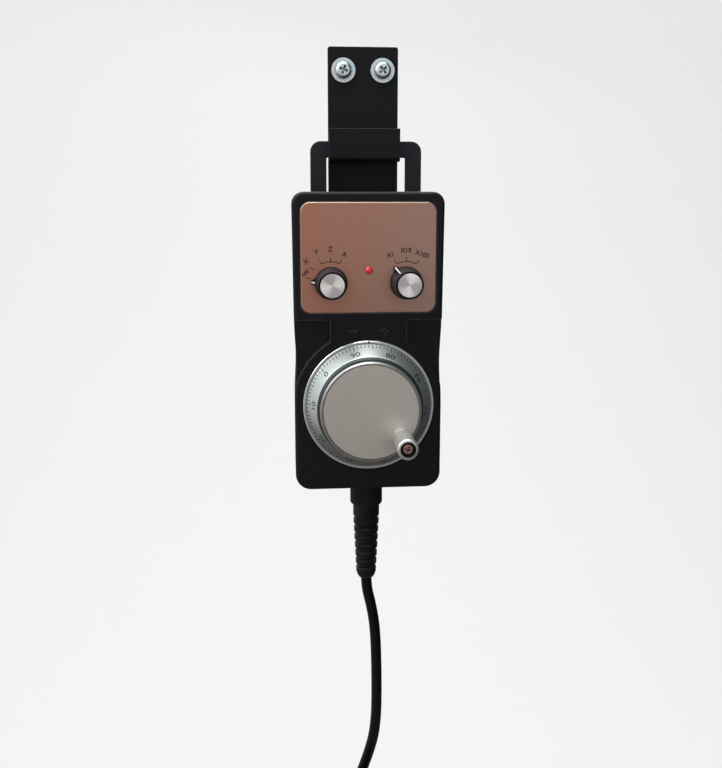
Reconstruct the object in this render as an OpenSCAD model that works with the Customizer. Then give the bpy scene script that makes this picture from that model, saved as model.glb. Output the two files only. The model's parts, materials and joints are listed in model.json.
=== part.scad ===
// Hand-held pendant controller with a handwheel, hung by its loop on a wall holder.
// Millimetres. X points right, Y into the wall, Z up.
// The origin lies on the wall, midway between the two holder screws.

/* [Wall holder] */
// Width of the holder plate and of its hook
holder_w = 44; // [36:1:52]
// Thickness of the holder plate
plate_t = 2; // [1.5:0.25:3]
// Height of the plate above the screws
plate_above = 14.3; // [10:0.1:24]
// Length of the plate below the screws
plate_below = 112; // [90:1:150]
// Thickness of the hook's sheet
hook_t = 2.5; // [1.5:0.25:3.5]
// Clear depth inside the hook, from its back leg to its lip
hook_gap = 9; // [8:0.5:14]
// Height of the lip, from under the shelf to its top edge
lip_h = 20; // [14:0.5:26]
// Height of the back leg, from under the shelf
hook_leg_h = 18; // [10:0.5:26]
// Inside radius of the hook's bends
hook_bend_r = 1.5; // [0.5:0.25:2]
// Drop from the screws to the top of the shelf
shelf_drop = 53.5; // [46:0.5:64]

/* [Holder screws] */
// Distance between the two holder screws
screw_pitch = 24.5; // [20:0.5:27]
// Diameter of a holder screw
screw_d = 5; // [4:0.5:6]
// Diameter of a holder screw's head
screw_head_d = 10.2; // [8:0.1:12]
// Height of a holder screw's head
screw_head_h = 3.4; // [2.5:0.1:4]
// How far a holder screw stands out behind the plate
screw_out = 10; // [6:1:20]
// Diameter of a washer
washer_d = 15; // [13:0.5:17]
// Thickness of a washer
washer_t = 1.2; // [0.8:0.1:2]

/* [Hanger loop] */
// Thickness of the loop
loop_t = 4.5; // [3:0.5:6]
// Width of the loop's bar and legs
loop_bar = 10; // [8:0.5:12]
// Clearance between the holder and each leg of the loop
loop_side_clear = 2.7; // [1.5:0.1:4]
// Height of the opening between the case and the loop's bar
loop_opening_h = 21; // [14:0.5:30]
// Outside radius of the loop's corners
loop_corner_r = 6.5; // [3:0.5:8]
// How far the legs reach into the case
loop_depth = 16; // [12:0.5:22]

/* [Case] */
// Width of the case at its top
case_top_w = 91.5; // [88:0.5:96]
// Width of the case at the handwheel
case_w = 90; // [88:0.5:94]
// Height of the case
case_h = 182.5; // [178:0.5:195]
// Depth of the case, from back to front
case_d = 43; // [41:0.5:52]
// Depth of the rear cover
rear_d = 14; // [12.5:0.5:16]
// Thickness of the gasket between the two halves
gasket_t = 1; // [0.5:0.1:1.5]
// Wall of the case
case_wall = 2.5; // [2:0.1:3]
// Radius of the top corners
top_corner_r = 7.5; // [5:0.5:10]
// Radius of the bottom corners
bottom_corner_r = 9.5; // [6:0.5:12]
// Bevel round the front edge
front_bevel = 1.4; // [0.6:0.1:2]
// How far each side draws in at the grip
grip_waist = 1; // [0:0.1:1.5]
// Height of the head above the two corner pockets
head_h = 76.3; // [74:0.1:78]
// Depth of the corner pockets
pocket_drop = 4; // [2:0.5:5]
// Width of the tab between the pockets
tab_w = 46.5; // [36:0.5:56]
// Radius of the round platform under the handwheel
platform_r = 46; // [44:0.5:48]

/* [Face plate] */
// Width of the face plate
face_w = 81.5; // [76:0.5:84]
// Height of the face plate
face_h = 66.2; // [62:0.1:68]
// Thickness of the face plate
face_t = 1; // [0.6:0.1:1.5]
// Corner radius of the face plate
face_r = 6; // [3:0.5:9]
// Drop from the top of the case to the face plate
face_drop = 6; // [4:0.5:8]
// Depth of the recess that holds the face plate
face_recess = 0.4; // [0.2:0.1:0.8]
// Diameter of the status lamp
led_d = 4.6; // [3:0.1:6]
// Drop from the top of the case to the status lamp
led_drop = 46.5; // [40:0.5:56]

/* [Selectors] */
// Distance from the middle line to each selector
selector_x = 22.6; // [21:0.1:26]
// Drop from the top of the case to the selectors
selector_drop = 54; // [50:0.5:58]
// Diameter of a knob's skirt
knob_base_d = 19.6; // [18.6:0.1:22]
// Diameter of a knob's top
knob_top_d = 16.4; // [15.4:0.1:18]
// Height of a knob over the face plate
knob_h = 16.8; // [14:0.1:20]
// Diameter of the metal disc on a knob
cap_d = 14.8; // [12:0.1:15]
// Thickness of the metal disc on a knob
cap_t = 0.8; // [0.5:0.1:1.2]
// Reach of a knob's pointer from its axis
pointer_reach = 12.2; // [11.4:0.1:14]
// Angle of the axis selector's pointer at rest, from +X
axis_rest = 175; // [160:5:190]
// Angle of the multiplier selector's pointer at rest, from +X
multiplier_rest = 127; // [110:1:150]
// Diameter of a selector's shaft
shaft_d = 6; // [4:0.5:6.5]
// Diameter of a switch's threaded bushing
bushing_d = 9; // [8:0.5:9.5]
// Height of a switch's bushing over the face plate
bushing_h = 4.4; // [4:0.1:5]
// Width across the flats of a switch's nut
nut_af = 11.8; // [11.4:0.1:12]
// Thickness of a switch's nut
nut_t = 2.4; // [1.6:0.1:3]
// Diameter of a switch's body
switch_d = 22; // [18:0.5:24]
// Depth of a switch's body
switch_deep = 14; // [10:0.5:15]

/* [Handwheel] */
// Drop from the top of the case to the handwheel's axis
dial_drop = 129; // [127:0.5:132]
// Outside diameter of the fixed index ring
bezel_d = 80; // [79:0.5:84]
// Width of the index ring
bezel_w = 1.5; // [1:0.1:1.8]
// Height of the index ring
bezel_h = 1.6; // [1.2:0.1:2.4]
// Thickness of the index ring's flange
bezel_flange_t = 0.6; // [0.4:0.1:0.8]
// Radial gap between the index ring and the wheel
wheel_gap = 0.5; // [0.3:0.1:0.8]
// Height of the wheel over the case
wheel_h = 20; // [19:0.5:26]
// Diameter of the wheel at its shoulder
wheel_shoulder_d = 64.4; // [63:0.1:68]
// Height of the shoulder over the case
wheel_shoulder_h = 12; // [10:0.5:14]
// Diameter of the wheel at its front
wheel_top_d = 61; // [59:0.1:62.5]
// Bevel round the wheel's front
wheel_bevel = 1; // [0.5:0.1:1.5]
// Wall of the wheel
wheel_wall = 2.4; // [2:0.1:3]
// Diameter of the wheel's hub
hub_d = 14; // [12:0.5:18]
// Diameter of the face disc in the wheel's front
wheel_face_d = 58; // [54:0.1:58.4]
// Thickness of the face disc
wheel_face_t = 1.1; // [0.8:0.1:1.4]
// Distance from the wheel's axis to the crank grip
crank_r = 25; // [20:0.5:25]
// Angle of the crank grip at rest, from +X
crank_rest = -41; // [-90:1:0]
// Diameter of the crank grip at its tip
grip_tip_d = 12.6; // [11.6:0.1:14]
// Diameter of the crank grip at its waist
grip_waist_d = 12; // [11:0.1:13]
// Diameter of the crank grip where it starts
grip_base_d = 10.8; // [10:0.1:11]
// Length of the crank grip
grip_len = 23.6; // [18:0.2:30]
// Diameter of the black bush in the grip's tip
bush_d = 9.2; // [8.6:0.1:9.8]
// Diameter of the crank screw's shoulder
crank_screw_d = 5; // [4:0.5:5]
// Diameter of the crank screw's head
crank_head_d = 6.2; // [5.8:0.1:6.2]

/* [Encoder] */
// Diameter of the encoder's housing
encoder_d = 50; // [46:1:52]
// Depth of the encoder's housing behind the case wall
encoder_deep = 21; // [18:0.5:22]
// Wall of the encoder's housing
encoder_wall = 2; // [1.5:0.1:3]
// Diameter of the encoder's flange
encoder_flange_d = 62; // [60:0.5:66]
// Diameter of the circle of the encoder's screws
encoder_bolt_d = 56; // [54:0.5:58]
// Diameter of the encoder's front boss
encoder_boss_d = 18; // [16:0.5:20]
// Diameter of the encoder's shaft
encoder_shaft_d = 6; // [5:0.5:8]
// Outside diameter of the encoder's bearing
bearing_d = 13; // [11:0.5:14]
// Width of the encoder's bearing
bearing_w = 5; // [4:0.5:5]
// Diameter of the slotted disc
code_disc_d = 40; // [30:1:44]

/* [Inside] */
// Width of the control board
board_w = 60; // [54:1:66]
// Height of the control board
board_h = 60; // [58:1:62]
// Thickness of the control board
board_t = 1.6; // [1:0.1:2]
// Distance from the case's front wall to the control board
board_stand = 18.8; // [16:0.2:20]
// Width of the terminal block
terminal_w = 34; // [20:1:44]
// Diameter of the small screws
small_screw_d = 3; // [2.5:0.5:3]

/* [Strain relief] */
// Distance from the case's front to the cord's axis
gland_y = 17; // [15:0.5:18]
// Diameter of the gland's sleeve
gland_d = 20.5; // [19:0.5:24]
// Length of the gland's sleeve below the case
gland_h = 14.5; // [10:0.5:18]
// Diameter of the gland's thread
gland_thread_d = 16; // [15:0.5:17]
// Diameter of the ribbed boot at its top
boot_d = 16.8; // [15:0.1:18]
// Diameter of the ribbed boot at its last rib
boot_end_d = 13.2; // [11:0.1:14.5]
// Length of the plain stretch above the ribs
boot_plain = 9.5; // [6:0.5:12]
// Number of grooves
boot_grooves = 7; // [4:1:9]
// Distance from groove to groove
groove_pitch = 5.45; // [4:0.05:6.5]
// Width of a groove
groove_w = 2; // [1:0.1:2.6]
// Depth of a groove
groove_deep = 1.5; // [0.8:0.1:2]
// Length of the boot's tip below the last groove
boot_tip = 7.3; // [5:0.1:10]

/* [Cord] */
// Diameter of the cord
cord_d = 7; // [6:0.1:7.6]
// Width of the tie round the folded cord
tie_w = 12; // [8:0.5:13]
// Diameter of the plug's coupling ring
plug_ring_d = 19; // [18:0.5:22]
// Diameter of the plug's body
plug_d = 16; // [14:0.5:16.5]
// Diameter of the socket in the plug's mouth
plug_socket_d = 16.8; // [16.6:0.1:17.4]
// Length of the plug
plug_len = 40; // [34:1:46]

/* [Hidden] */
$fn = 64;

// Clearances
eps = 0.01;          // overshoot of a cut through a face
run_clear = 0.05;    // radial running clearance of a shaft in its bore
turn_clear = 0.4;    // gap between a turning piece and a fixed one
fit_clear = 0.2;     // gap round a piece that is slipped in

// Holder
leg_front = -plate_t - hook_t;
hook_d = hook_t + hook_gap + hook_t;
shelf_z = -shelf_drop;
hook_bot = shelf_z - hook_t;
plate_corner_r = 1.5;
screw_neck_d = screw_d + 0.4;

// Hanger loop
loop_mid = leg_front - hook_gap / 2;
loop_back = loop_mid + loop_t / 2;
loop_front = loop_mid - loop_t / 2;
loop_in_w = holder_w + 2 * loop_side_clear;
loop_w = loop_in_w + 2 * loop_bar;
loop_h = loop_bar + loop_opening_h + loop_depth;
leg_x = (loop_in_w + loop_bar) / 2;

// Case
case_top = shelf_z - loop_opening_h;
case_bot = case_top - case_h;
case_back = -plate_t;
case_front = case_back - case_d;
rear_front = case_back - rear_d;
shell_back = rear_front - gasket_t;
step_z = case_top - head_h;
dial_z = case_top - dial_drop;
wall_back = case_front + case_wall;
pocket_floor = case_front + pocket_drop;
side_steps = 10;
gasket_inset = 0.4;

// Fastening of the case
boss_r = 4;
boss_top_x = case_top_w / 2 - case_wall - boss_r;
boss_bot_x = case_w / 2 - case_wall - boss_r - 1;
boss_gap = 1.5;
boss_top_z = case_top - loop_depth - boss_gap - boss_r;
boss_bot_z = case_bot + bottom_corner_r + 1;
boss_places = [
    [-boss_top_x, boss_top_z], [boss_top_x, boss_top_z], [-boss_bot_x, boss_bot_z], [boss_bot_x, boss_bot_z]
];
screw_seat = case_back - 3.2;
case_screw_len = 19;
small_head_d = 5.6;
small_head_h = 2.2;
loop_screw_len = case_back - case_wall / 2 - loop_front;
loop_screw_z = case_top - loop_depth + loop_bar / 2;

// Face plate
face_back = case_front + face_recess;
face_front = face_back - face_t;
face_top = case_top - face_drop;
face_mid_z = face_top - face_h / 2;
led_z = case_top - led_drop;
led_proud = 1.6;

// Selectors
selector_z = case_top - selector_drop;
bushing_bore = shaft_d + 2 * run_clear;
nut_d = nut_af / cos(30);
knob_cavity_r = nut_d / 2 + turn_clear;
knob_cavity_h = bushing_h + turn_clear;
shaft_top = knob_h - cap_t - 2;
shaft_deep = switch_deep - 2;
set_screw_h = 9;

// Handwheel, heights over the case front
skirt_r = bezel_d / 2 - bezel_w - wheel_gap;
skirt_h = bezel_flange_t + turn_clear;
skirt_edge = 0.8;
seat_h = wheel_h - wheel_face_t - 0.3;
disc_h = seat_h + wheel_face_t;
web_h = seat_h - wheel_wall;
boss_h = 2;
hub_h = boss_h + turn_clear;
crank_x = crank_r * cos(crank_rest);
crank_z = dial_z + crank_r * sin(crank_rest);
crank_collar_h = disc_h + turn_clear;
grip_h = crank_collar_h + 0.1;
grip_tip_h = grip_h + grip_len;
recess_h = grip_tip_h - 4;
bush_floor = 1;
crank_head_h = 1.8;
crank_thread = 6;

// Encoder, depths behind the case wall
encoder_front_t = 3;
encoder_shaft_deep = encoder_deep - encoder_wall - 2;
encoder_screw_angles = [90, 210, 330];

// Inside
board_front = wall_back + board_stand;
board_top = case_top - 14;
post_r = 3;
post_x = board_w / 2 - post_r - 1;
post_places = [
    [-post_x, board_top - post_r - 1], [post_x, board_top - post_r - 1],
    [-post_x, board_top - board_h + post_r + 1], [post_x, board_top - board_h + post_r + 1]
];

// Strain relief
cord_y = case_front + gland_y;
boot_top = case_bot - gland_h;
last_groove = boot_plain + (boot_grooves - 1) * groove_pitch;
boot_len = last_groove + groove_w / 2 + boot_tip;
boot_bot = boot_top - boot_len;
boot_socket = 6;
gland_inside = 6;
core_tail = 1;

// Folded hank: two round ends and a waist held by the tie
hank_x = -8;
hank_end_r = 25.5;
hank_half_h = 75.5;
hank_waist = 12;
hank_flare = 42;
hank_drop = 152;
hank_behind = 16;
hank_ahead = 21;
hank_z = boot_bot - hank_drop - hank_half_h;
hank_back = cord_y + hank_behind;
hank_front = cord_y - hank_ahead;
tie_t = 1.6;

// Plug in front of the hank
plug_ring_len = 16;
plug_socket_deep = 8;
plug_face = plug_len - plug_socket_deep;
plug_y = hank_front - plug_ring_d / 2 - 1;
plug_drop = 24.5;
plug_top = hank_z - plug_drop;

// Route of the cord from the boot to the top of the hank, and from its front to the plug
lead_points = [for (p = [
    [0, 0, 0], [0.3, 0, -9], [2, 0, -20], [4, 0, -32], [5.4, 0, -45], [5.9, 0, -59], [5.4, 0.5, -74],
    [3.8, 1.5, -89], [1.2, 3, -103], [-2, 5, -116], [-5, 7.5, -128], [-7.2, 10, -140], [-8, 11.5, -152]
]) [p[0], cord_y + p[1], boot_bot + p[2]]];
end_points = [for (p = [[0, -10.5], [0.3, -11.5], [0.62, -14.5], [0.86, -19], [1, -24.5]])
    [hank_x, hank_front + p[0] * (plug_y - hank_front), hank_z + p[1]]];

// ---- Shapes used by more than one piece ----

// Points on an arc, from angle a0 to a1
function arc(cx, cy, r, a0, a1, n) =
    [for (i = [0:n]) let (a = a0 + (a1 - a0) * i / n) [cx + r * cos(a), cy + r * sin(a)]];

function reversed(list) = [for (i = [len(list) - 1:-1:0]) list[i]];

// Half the width of the case at a height between the head and the handwheel
function grip_half(z) =
    case_w / 2 - grip_waist * pow(sin(180 * (step_z - z) / (step_z - dial_z)), 2);

// Right half of the case's outline, drawn in by e
function right_side(e) = concat(
    arc(case_top_w / 2 - top_corner_r, case_top - top_corner_r, top_corner_r - e, 90, 0, 8),
    [for (i = [0:side_steps]) let (z = step_z + (dial_z - step_z) * i / side_steps) [grip_half(z) - e, z]],
    arc(case_w / 2 - bottom_corner_r, case_bot + bottom_corner_r, bottom_corner_r - e, 0, -90, 8)
);

module case_outline(e = 0) {
    side = right_side(e);
    polygon(concat(side, [for (p = reversed(side)) [-p[0], p[1]]]));
}

module round_rect(w, h, r) {
    polygon(concat(
        arc(w / 2 - r, h / 2 - r, r, 90, 0, 8), arc(w / 2 - r, r - h / 2, r, 0, -90, 8),
        arc(r - w / 2, r - h / 2, r, -90, -180, 8), arc(r - w / 2, h / 2 - r, r, 180, 90, 8)
    ));
}

// A front-view outline given thickness between two depths
module slab(front, back) {
    translate([0, back, 0]) rotate([90, 0, 0]) linear_extrude(back - front) children();
}

// A frame on an axis along Y whose own Z points out of the wall
module facing(x, z, y) {
    translate([x, y, z]) rotate([90, 0, 0]) children();
}

// A frame on an axis along Y whose own Z points into the wall
module backing(x, z, y) {
    translate([x, y, z]) rotate([-90, 0, 0]) children();
}

// A frame on the cord's axis whose own Z points down
module hanging(z) {
    translate([0, cord_y, z]) rotate([180, 0, 0]) children();
}

// A channel section drawn in Y and Z, closed below with round corners
module channel(w, h, r) {
    polygon(concat([[0, h]], arc(r, r, r, 180, 270, 6), arc(w - r, r, r, 270, 360, 6), [[w, h]]));
}

module cross_recess(size, deep) {
    for (turn = [0, 90]) rotate([0, 0, turn])
        translate([-size / 2, -size / 10, -deep]) cube([size, size / 5, deep + eps]);
}

// Pan head screw: its head stands on z = 0 and its shank hangs below
module pan_screw(d, head_d, head_h, len) {
    difference() {
        union() {
            rotate_extrude() polygon(concat(
                [[0, 0], [head_d / 2, 0]],
                arc(head_d / 2 - head_h * 0.6, head_h * 0.4, head_h * 0.6, 0, 90, 6),
                [[0, head_h]]
            ));
            translate([0, 0, -len]) cylinder(d = d, h = len + eps);
        }
        translate([0, 0, head_h]) cross_recess(head_d * 0.55, head_h * 0.5);
    }
}

// Direction of a route at one of its points: straight up, down or out at its two ends
function tangent(p, i) =
    let (v = i == 0 ? p[1] - p[0] : i == len(p) - 1 ? p[i] - p[i - 1] : p[i + 1] - p[i - 1])
    i > 0 && i < len(p) - 1 ? v / norm(v)
    : abs(v[2]) > abs(v[1]) ? [0, 0, sign(v[2])] : [0, sign(v[1]), 0];

// Points round a tube at one of the points of its route
function ring(p, i, d, sides) =
    let (t = tangent(p, i), side = cross(t, [1, 0, 0]), v = side / norm(side), u = cross(v, t))
    [for (k = [0:sides - 1]) let (a = 360 * k / sides) p[i] + d / 2 * (cos(a) * u + sin(a) * v)];

module swept_tube(p, d, sides = 10) {
    n = len(p);
    polyhedron(
        points = [for (i = [0:n - 1]) each ring(p, i, d, sides)],
        faces = concat(
            [[for (k = [0:sides - 1]) k]],
            [for (i = [0:n - 2], k = [0:sides - 1])
                let (a = i * sides, b = a + sides, next = (k + 1) % sides)
                [a + k, b + k, b + next, a + next]],
            [[for (k = [sides - 1:-1:0]) (n - 1) * sides + k]]
        )
    );
}

// ---- Wall holder ----

module holder_plate() {
    color("#201d20") slab(-plate_t, 0) difference() {
        translate([0, (plate_above - plate_below) / 2])
            round_rect(holder_w, plate_above + plate_below, plate_corner_r);
        for (side = [-1, 1]) translate([side * screw_pitch / 2, 0]) circle(d = screw_neck_d);
    }
}

module holder_hook() {
    color("#242124") translate([0, -plate_t - hook_d, hook_bot])
        rotate([90, 0, 90]) linear_extrude(holder_w, center = true) difference() {
            union() {
                channel(hook_d, hook_leg_h, hook_bend_r + hook_t);
                intersection() {
                    channel(hook_d, lip_h, hook_bend_r + hook_t);
                    square([hook_t + hook_bend_r, lip_h]);
                }
            }
            translate([hook_t, hook_t]) channel(hook_gap, lip_h, hook_bend_r);
        }
}

module holder_washer(side) {
    color("#b9bcbf") facing(side * screw_pitch / 2, 0, -plate_t) difference() {
        cylinder(d = washer_d, h = washer_t);
        translate([0, 0, -eps]) cylinder(d = screw_neck_d, h = washer_t + 2 * eps);
    }
}

module holder_screw(side) {
    held = washer_t + plate_t;
    color("#c4c6c8") facing(side * screw_pitch / 2, 0, -held) {
        pan_screw(screw_d, screw_head_d, screw_head_h, held + screw_out);
        translate([0, 0, -held]) cylinder(d = screw_neck_d, h = held + eps);
    }
}

// ---- Hanger loop ----

module hanger_loop() {
    leg_bot = case_top - loop_depth;
    color("#26262b") slab(loop_front, loop_back) difference() {
        translate([-loop_w / 2, leg_bot]) polygon(concat(
            [[0, 0]], arc(loop_corner_r, loop_h - loop_corner_r, loop_corner_r, 180, 90, 8),
            arc(loop_w - loop_corner_r, loop_h - loop_corner_r, loop_corner_r, 90, 0, 8), [[loop_w, 0]]
        ));
        translate([-loop_in_w / 2, leg_bot - eps]) square([loop_in_w, loop_h - loop_bar + eps]);
        for (side = [-1, 1]) translate([side * leg_x, leg_bot + loop_bar / 2]) circle(d = small_screw_d);
    }
}

module loop_screw(side) {
    color("#a9acb0") facing(side * leg_x, loop_screw_z, loop_front)
        pan_screw(small_screw_d, small_head_d, small_head_h, loop_screw_len);
}

// ---- Case ----

module rear_cover() {
    color("#232328") difference() {
        union() {
            difference() {
                slab(rear_front, case_back) case_outline();
                slab(rear_front - eps, case_back - case_wall) case_outline(case_wall);
            }
            for (p = boss_places) facing(p[0], p[1], case_back) cylinder(r = boss_r, h = rear_d + gasket_t);
            for (side = [-1, 1]) facing(side * leg_x, loop_screw_z, case_back - case_wall + eps)
                cylinder(r = boss_r, h = case_back - case_wall - loop_back + eps);
        }
        for (p = boss_places) facing(p[0], p[1], case_back) {
            translate([0, 0, -eps]) cylinder(d = small_screw_d, h = rear_d + gasket_t + 2 * eps);
            translate([0, 0, -eps])
                cylinder(d = small_head_d + 2 * fit_clear, h = case_back - screw_seat + eps);
        }
        for (side = [-1, 1]) {
            facing(side * leg_x, loop_screw_z, case_back - case_wall / 2)
                cylinder(d = small_screw_d, h = case_back - loop_back);
            translate([side * leg_x, loop_front - fit_clear, case_top - case_wall - eps])
                translate([-loop_bar / 2 - fit_clear, 0, 0])
                cube([loop_bar + 2 * fit_clear, loop_t + 2 * fit_clear, case_wall + 2 * eps]);
        }
    }
}

module case_gasket() {
    color("#111114") slab(shell_back, rear_front) difference() {
        case_outline(gasket_inset);
        case_outline(case_wall - gasket_inset);
    }
}

// The two low corners between the head and the platform, in front view
module pocket_outline() {
    difference() {
        translate([-case_top_w, dial_z]) square([2 * case_top_w, step_z - dial_z]);
        translate([-tab_w / 2, dial_z - eps]) square([tab_w, step_z - dial_z + 2 * eps]);
        translate([0, dial_z]) circle(r = platform_r);
    }
}

module case_shell() {
    difference() {
        union() {
            slab(case_front + front_bevel, shell_back) case_outline();
            hull() {
                slab(case_front + front_bevel, case_front + front_bevel + eps) case_outline();
                slab(case_front, case_front + eps) case_outline(front_bevel);
            }
        }
        slab(case_front - 1, pocket_floor) pocket_outline();
        slab(pocket_floor + case_wall, shell_back + 1) case_outline(case_wall);
        slab(wall_back, pocket_floor + case_wall + eps) intersection() {
            case_outline(case_wall);
            translate([-case_top_w, step_z + case_wall]) square([2 * case_top_w, head_h]);
        }
        slab(wall_back, pocket_floor + case_wall + eps) intersection() {
            case_outline(case_wall);
            translate([0, dial_z]) circle(r = platform_r - case_wall);
        }
    }
}

module front_case() {
    color("#222227") difference() {
        union() {
            case_shell();
            for (p = boss_places) facing(p[0], p[1], shell_back)
                cylinder(r = boss_r, h = shell_back - pocket_floor - case_wall + eps);
            for (p = boss_places) facing(p[0], p[1], shell_back)
                cylinder(r = boss_r, h = shell_back - wall_back + eps);
            for (p = post_places) facing(p[0], p[1], board_front) cylinder(r = post_r, h = board_stand + eps);
        }
        for (p = boss_places) facing(p[0], p[1], shell_back + eps)
            cylinder(d = small_screw_d, h = case_screw_len);
        for (p = post_places) facing(p[0], p[1], board_front + eps) cylinder(d = small_screw_d, h = 10);
        slab(case_front - 1, face_back) translate([0, face_mid_z])
            round_rect(face_w + 2 * fit_clear, face_h + 2 * fit_clear, face_r);
        for (side = [-1, 1]) facing(side * selector_x, selector_z, wall_back + 1)
            cylinder(d = bushing_d, h = case_wall + 2);
        facing(0, led_z, wall_back + 1) cylinder(d = led_d, h = case_wall + 2);
        facing(0, dial_z, wall_back + 1) cylinder(d = encoder_boss_d, h = case_wall + 2);
        facing(0, dial_z, wall_back + 1) for (a = encoder_screw_angles) rotate([0, 0, a])
            translate([encoder_bolt_d / 2, 0, 0]) cylinder(d = small_screw_d, h = case_wall + 2);
        hanging(case_bot + case_wall + 1) cylinder(d = gland_thread_d, h = case_wall + 2);
    }
}

module case_screw(place) {
    color("#a9acb0") backing(boss_places[place][0], boss_places[place][1], screw_seat)
        pan_screw(small_screw_d, small_head_d, small_head_h, case_screw_len);
}

// ---- Face plate ----

module face_plate() {
    color("#b9a79b") slab(face_front, face_back) difference() {
        translate([0, face_mid_z]) round_rect(face_w, face_h, face_r);
        for (side = [-1, 1]) translate([side * selector_x, selector_z]) circle(d = bushing_d);
        translate([0, led_z]) circle(d = led_d);
    }
}

module status_led() {
    flange_t = 1;
    stem_h = wall_back - face_front + led_proud - led_d / 3;
    color("#d8323a") facing(0, led_z, wall_back) rotate_extrude() polygon(concat(
        [[0, -4], [led_d / 2 + 1, -4], [led_d / 2 + 1, 0], [led_d / 2, 0]],
        [for (a = [0:10:90]) [led_d / 2 * cos(a), stem_h + led_d / 3 * sin(a)]]
    ));
}

// ---- Selector switches ----

module selector_switch(side) {
    color("#3a3a3e") facing(side * selector_x, selector_z, wall_back) difference() {
        union() {
            translate([0, 0, -switch_deep]) cylinder(d = switch_d, h = switch_deep);
            cylinder(d = bushing_d, h = wall_back - face_front + bushing_h);
        }
        translate([0, 0, -shaft_deep - turn_clear]) cylinder(d = bushing_bore, h = switch_deep + 20);
    }
}

module selector_nut(side) {
    color("#b4b6b8") facing(side * selector_x, selector_z, face_front) difference() {
        cylinder(d = nut_d, h = nut_t, $fn = 6);
        translate([0, 0, -eps]) cylinder(d = bushing_d, h = nut_t + 2 * eps);
    }
}

module selector_shaft(side) {
    color("#9a9da1") facing(side * selector_x, selector_z, wall_back)
        translate([0, 0, -shaft_deep])
            cylinder(d = shaft_d, h = shaft_deep + wall_back - face_front + shaft_top);
}

module selector_knob(side, rest) {
    skirt = knob_base_d / 2;
    top = knob_top_d / 2;
    color("#2b2b31") facing(side * selector_x, selector_z, face_front) rotate([0, 0, rest]) difference() {
        union() {
            rotate_extrude() polygon([
                [0, turn_clear], [skirt, turn_clear], [skirt, 1.8], [skirt - 0.5, 2.6], [top + 0.25, 4.4],
                [top, 6.5], [top, knob_h - 0.3], [top - 0.3, knob_h], [0, knob_h]
            ]);
            translate([0, 0, turn_clear]) linear_extrude(1.6) polygon([
                [skirt - 2.4, -3.4], [pointer_reach - 0.6, -1], [pointer_reach, 0], [pointer_reach - 0.6, 1],
                [skirt - 2.4, 3.4]
            ]);
            rotate([90, 0, 0]) linear_extrude(1.6, center = true) polygon([
                [top - 1, turn_clear], [pointer_reach - 0.3, turn_clear], [pointer_reach - 0.3, 2.4],
                [top - 0.5, 8]
            ]);
        }
        translate([0, 0, -1]) cylinder(r = knob_cavity_r, h = knob_cavity_h + 1);
        cylinder(d = shaft_d, h = shaft_top);
        translate([0, 0, knob_h - cap_t]) cylinder(d = cap_d, h = cap_t + 1);
        translate([-top - 1, 0, set_screw_h]) rotate([0, 90, 0]) cylinder(d = small_screw_d, h = top);
    }
}

module selector_cap(side) {
    color("#d5d7d8") facing(side * selector_x, selector_z, face_front)
        translate([0, 0, knob_h - cap_t]) cylinder(d = cap_d, h = cap_t);
}

module selector_set_screw(side, rest) {
    len = knob_top_d / 2 - shaft_d / 2 - 0.6;
    color("#55585c") facing(side * selector_x, selector_z, face_front) rotate([0, 0, rest])
        translate([-shaft_d / 2 - len, 0, set_screw_h]) rotate([0, 90, 0]) difference() {
            cylinder(d = small_screw_d, h = len);
            translate([0, 0, -eps]) cylinder(d = small_screw_d / 2, h = 1.5, $fn = 6);
        }
}

// ---- Encoder ----

module index_bezel() {
    color("#d0d2d3") facing(0, dial_z, case_front) difference() {
        union() {
            cylinder(d = bezel_d, h = bezel_flange_t);
            difference() {
                cylinder(d = bezel_d, h = bezel_h);
                translate([0, 0, bezel_flange_t]) cylinder(d = bezel_d - 2 * bezel_w, h = bezel_h);
            }
        }
        translate([0, 0, -eps]) cylinder(d = encoder_boss_d, h = bezel_h);
        for (a = encoder_screw_angles) rotate([0, 0, a])
            translate([encoder_bolt_d / 2, 0, -eps]) cylinder(d = small_screw_d, h = bezel_h);
        translate([-0.4, bezel_d / 2 - bezel_w - eps, bezel_h - 0.5]) cube([0.8, bezel_w + 1, 1]);
    }
}

module encoder_housing() {
    color("#4a4b50") facing(0, dial_z, wall_back) difference() {
        union() {
            translate([0, 0, -encoder_front_t]) cylinder(d = encoder_flange_d, h = encoder_front_t);
            translate([0, 0, -encoder_deep]) cylinder(d = encoder_d, h = encoder_deep);
            cylinder(d = encoder_boss_d, h = case_wall + boss_h);
        }
        translate([0, 0, -encoder_deep + encoder_wall])
            cylinder(d = encoder_d - 2 * encoder_wall, h = encoder_deep - encoder_wall - encoder_front_t);
        translate([0, 0, -encoder_front_t - eps]) cylinder(d = bearing_d, h = bearing_w + eps);
        translate([0, 0, -encoder_front_t])
            cylinder(d = encoder_shaft_d + 1.6, h = encoder_front_t + case_wall + boss_h + 1);
        for (a = encoder_screw_angles) rotate([0, 0, a])
            translate([encoder_bolt_d / 2, 0, -encoder_front_t - eps])
                cylinder(d = small_screw_d, h = encoder_front_t + 2 * eps);
    }
}

module encoder_bearing() {
    color("#b0b3b6") facing(0, dial_z, wall_back) translate([0, 0, -encoder_front_t]) difference() {
        cylinder(d = bearing_d, h = bearing_w);
        translate([0, 0, -eps]) cylinder(d = encoder_shaft_d + 2 * run_clear, h = bearing_w + 2 * eps);
    }
}

module encoder_shaft() {
    color("#a3a6aa") facing(0, dial_z, wall_back)
        translate([0, 0, -encoder_shaft_deep])
            cylinder(d = encoder_shaft_d, h = encoder_shaft_deep + case_wall + seat_h);
}

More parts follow.
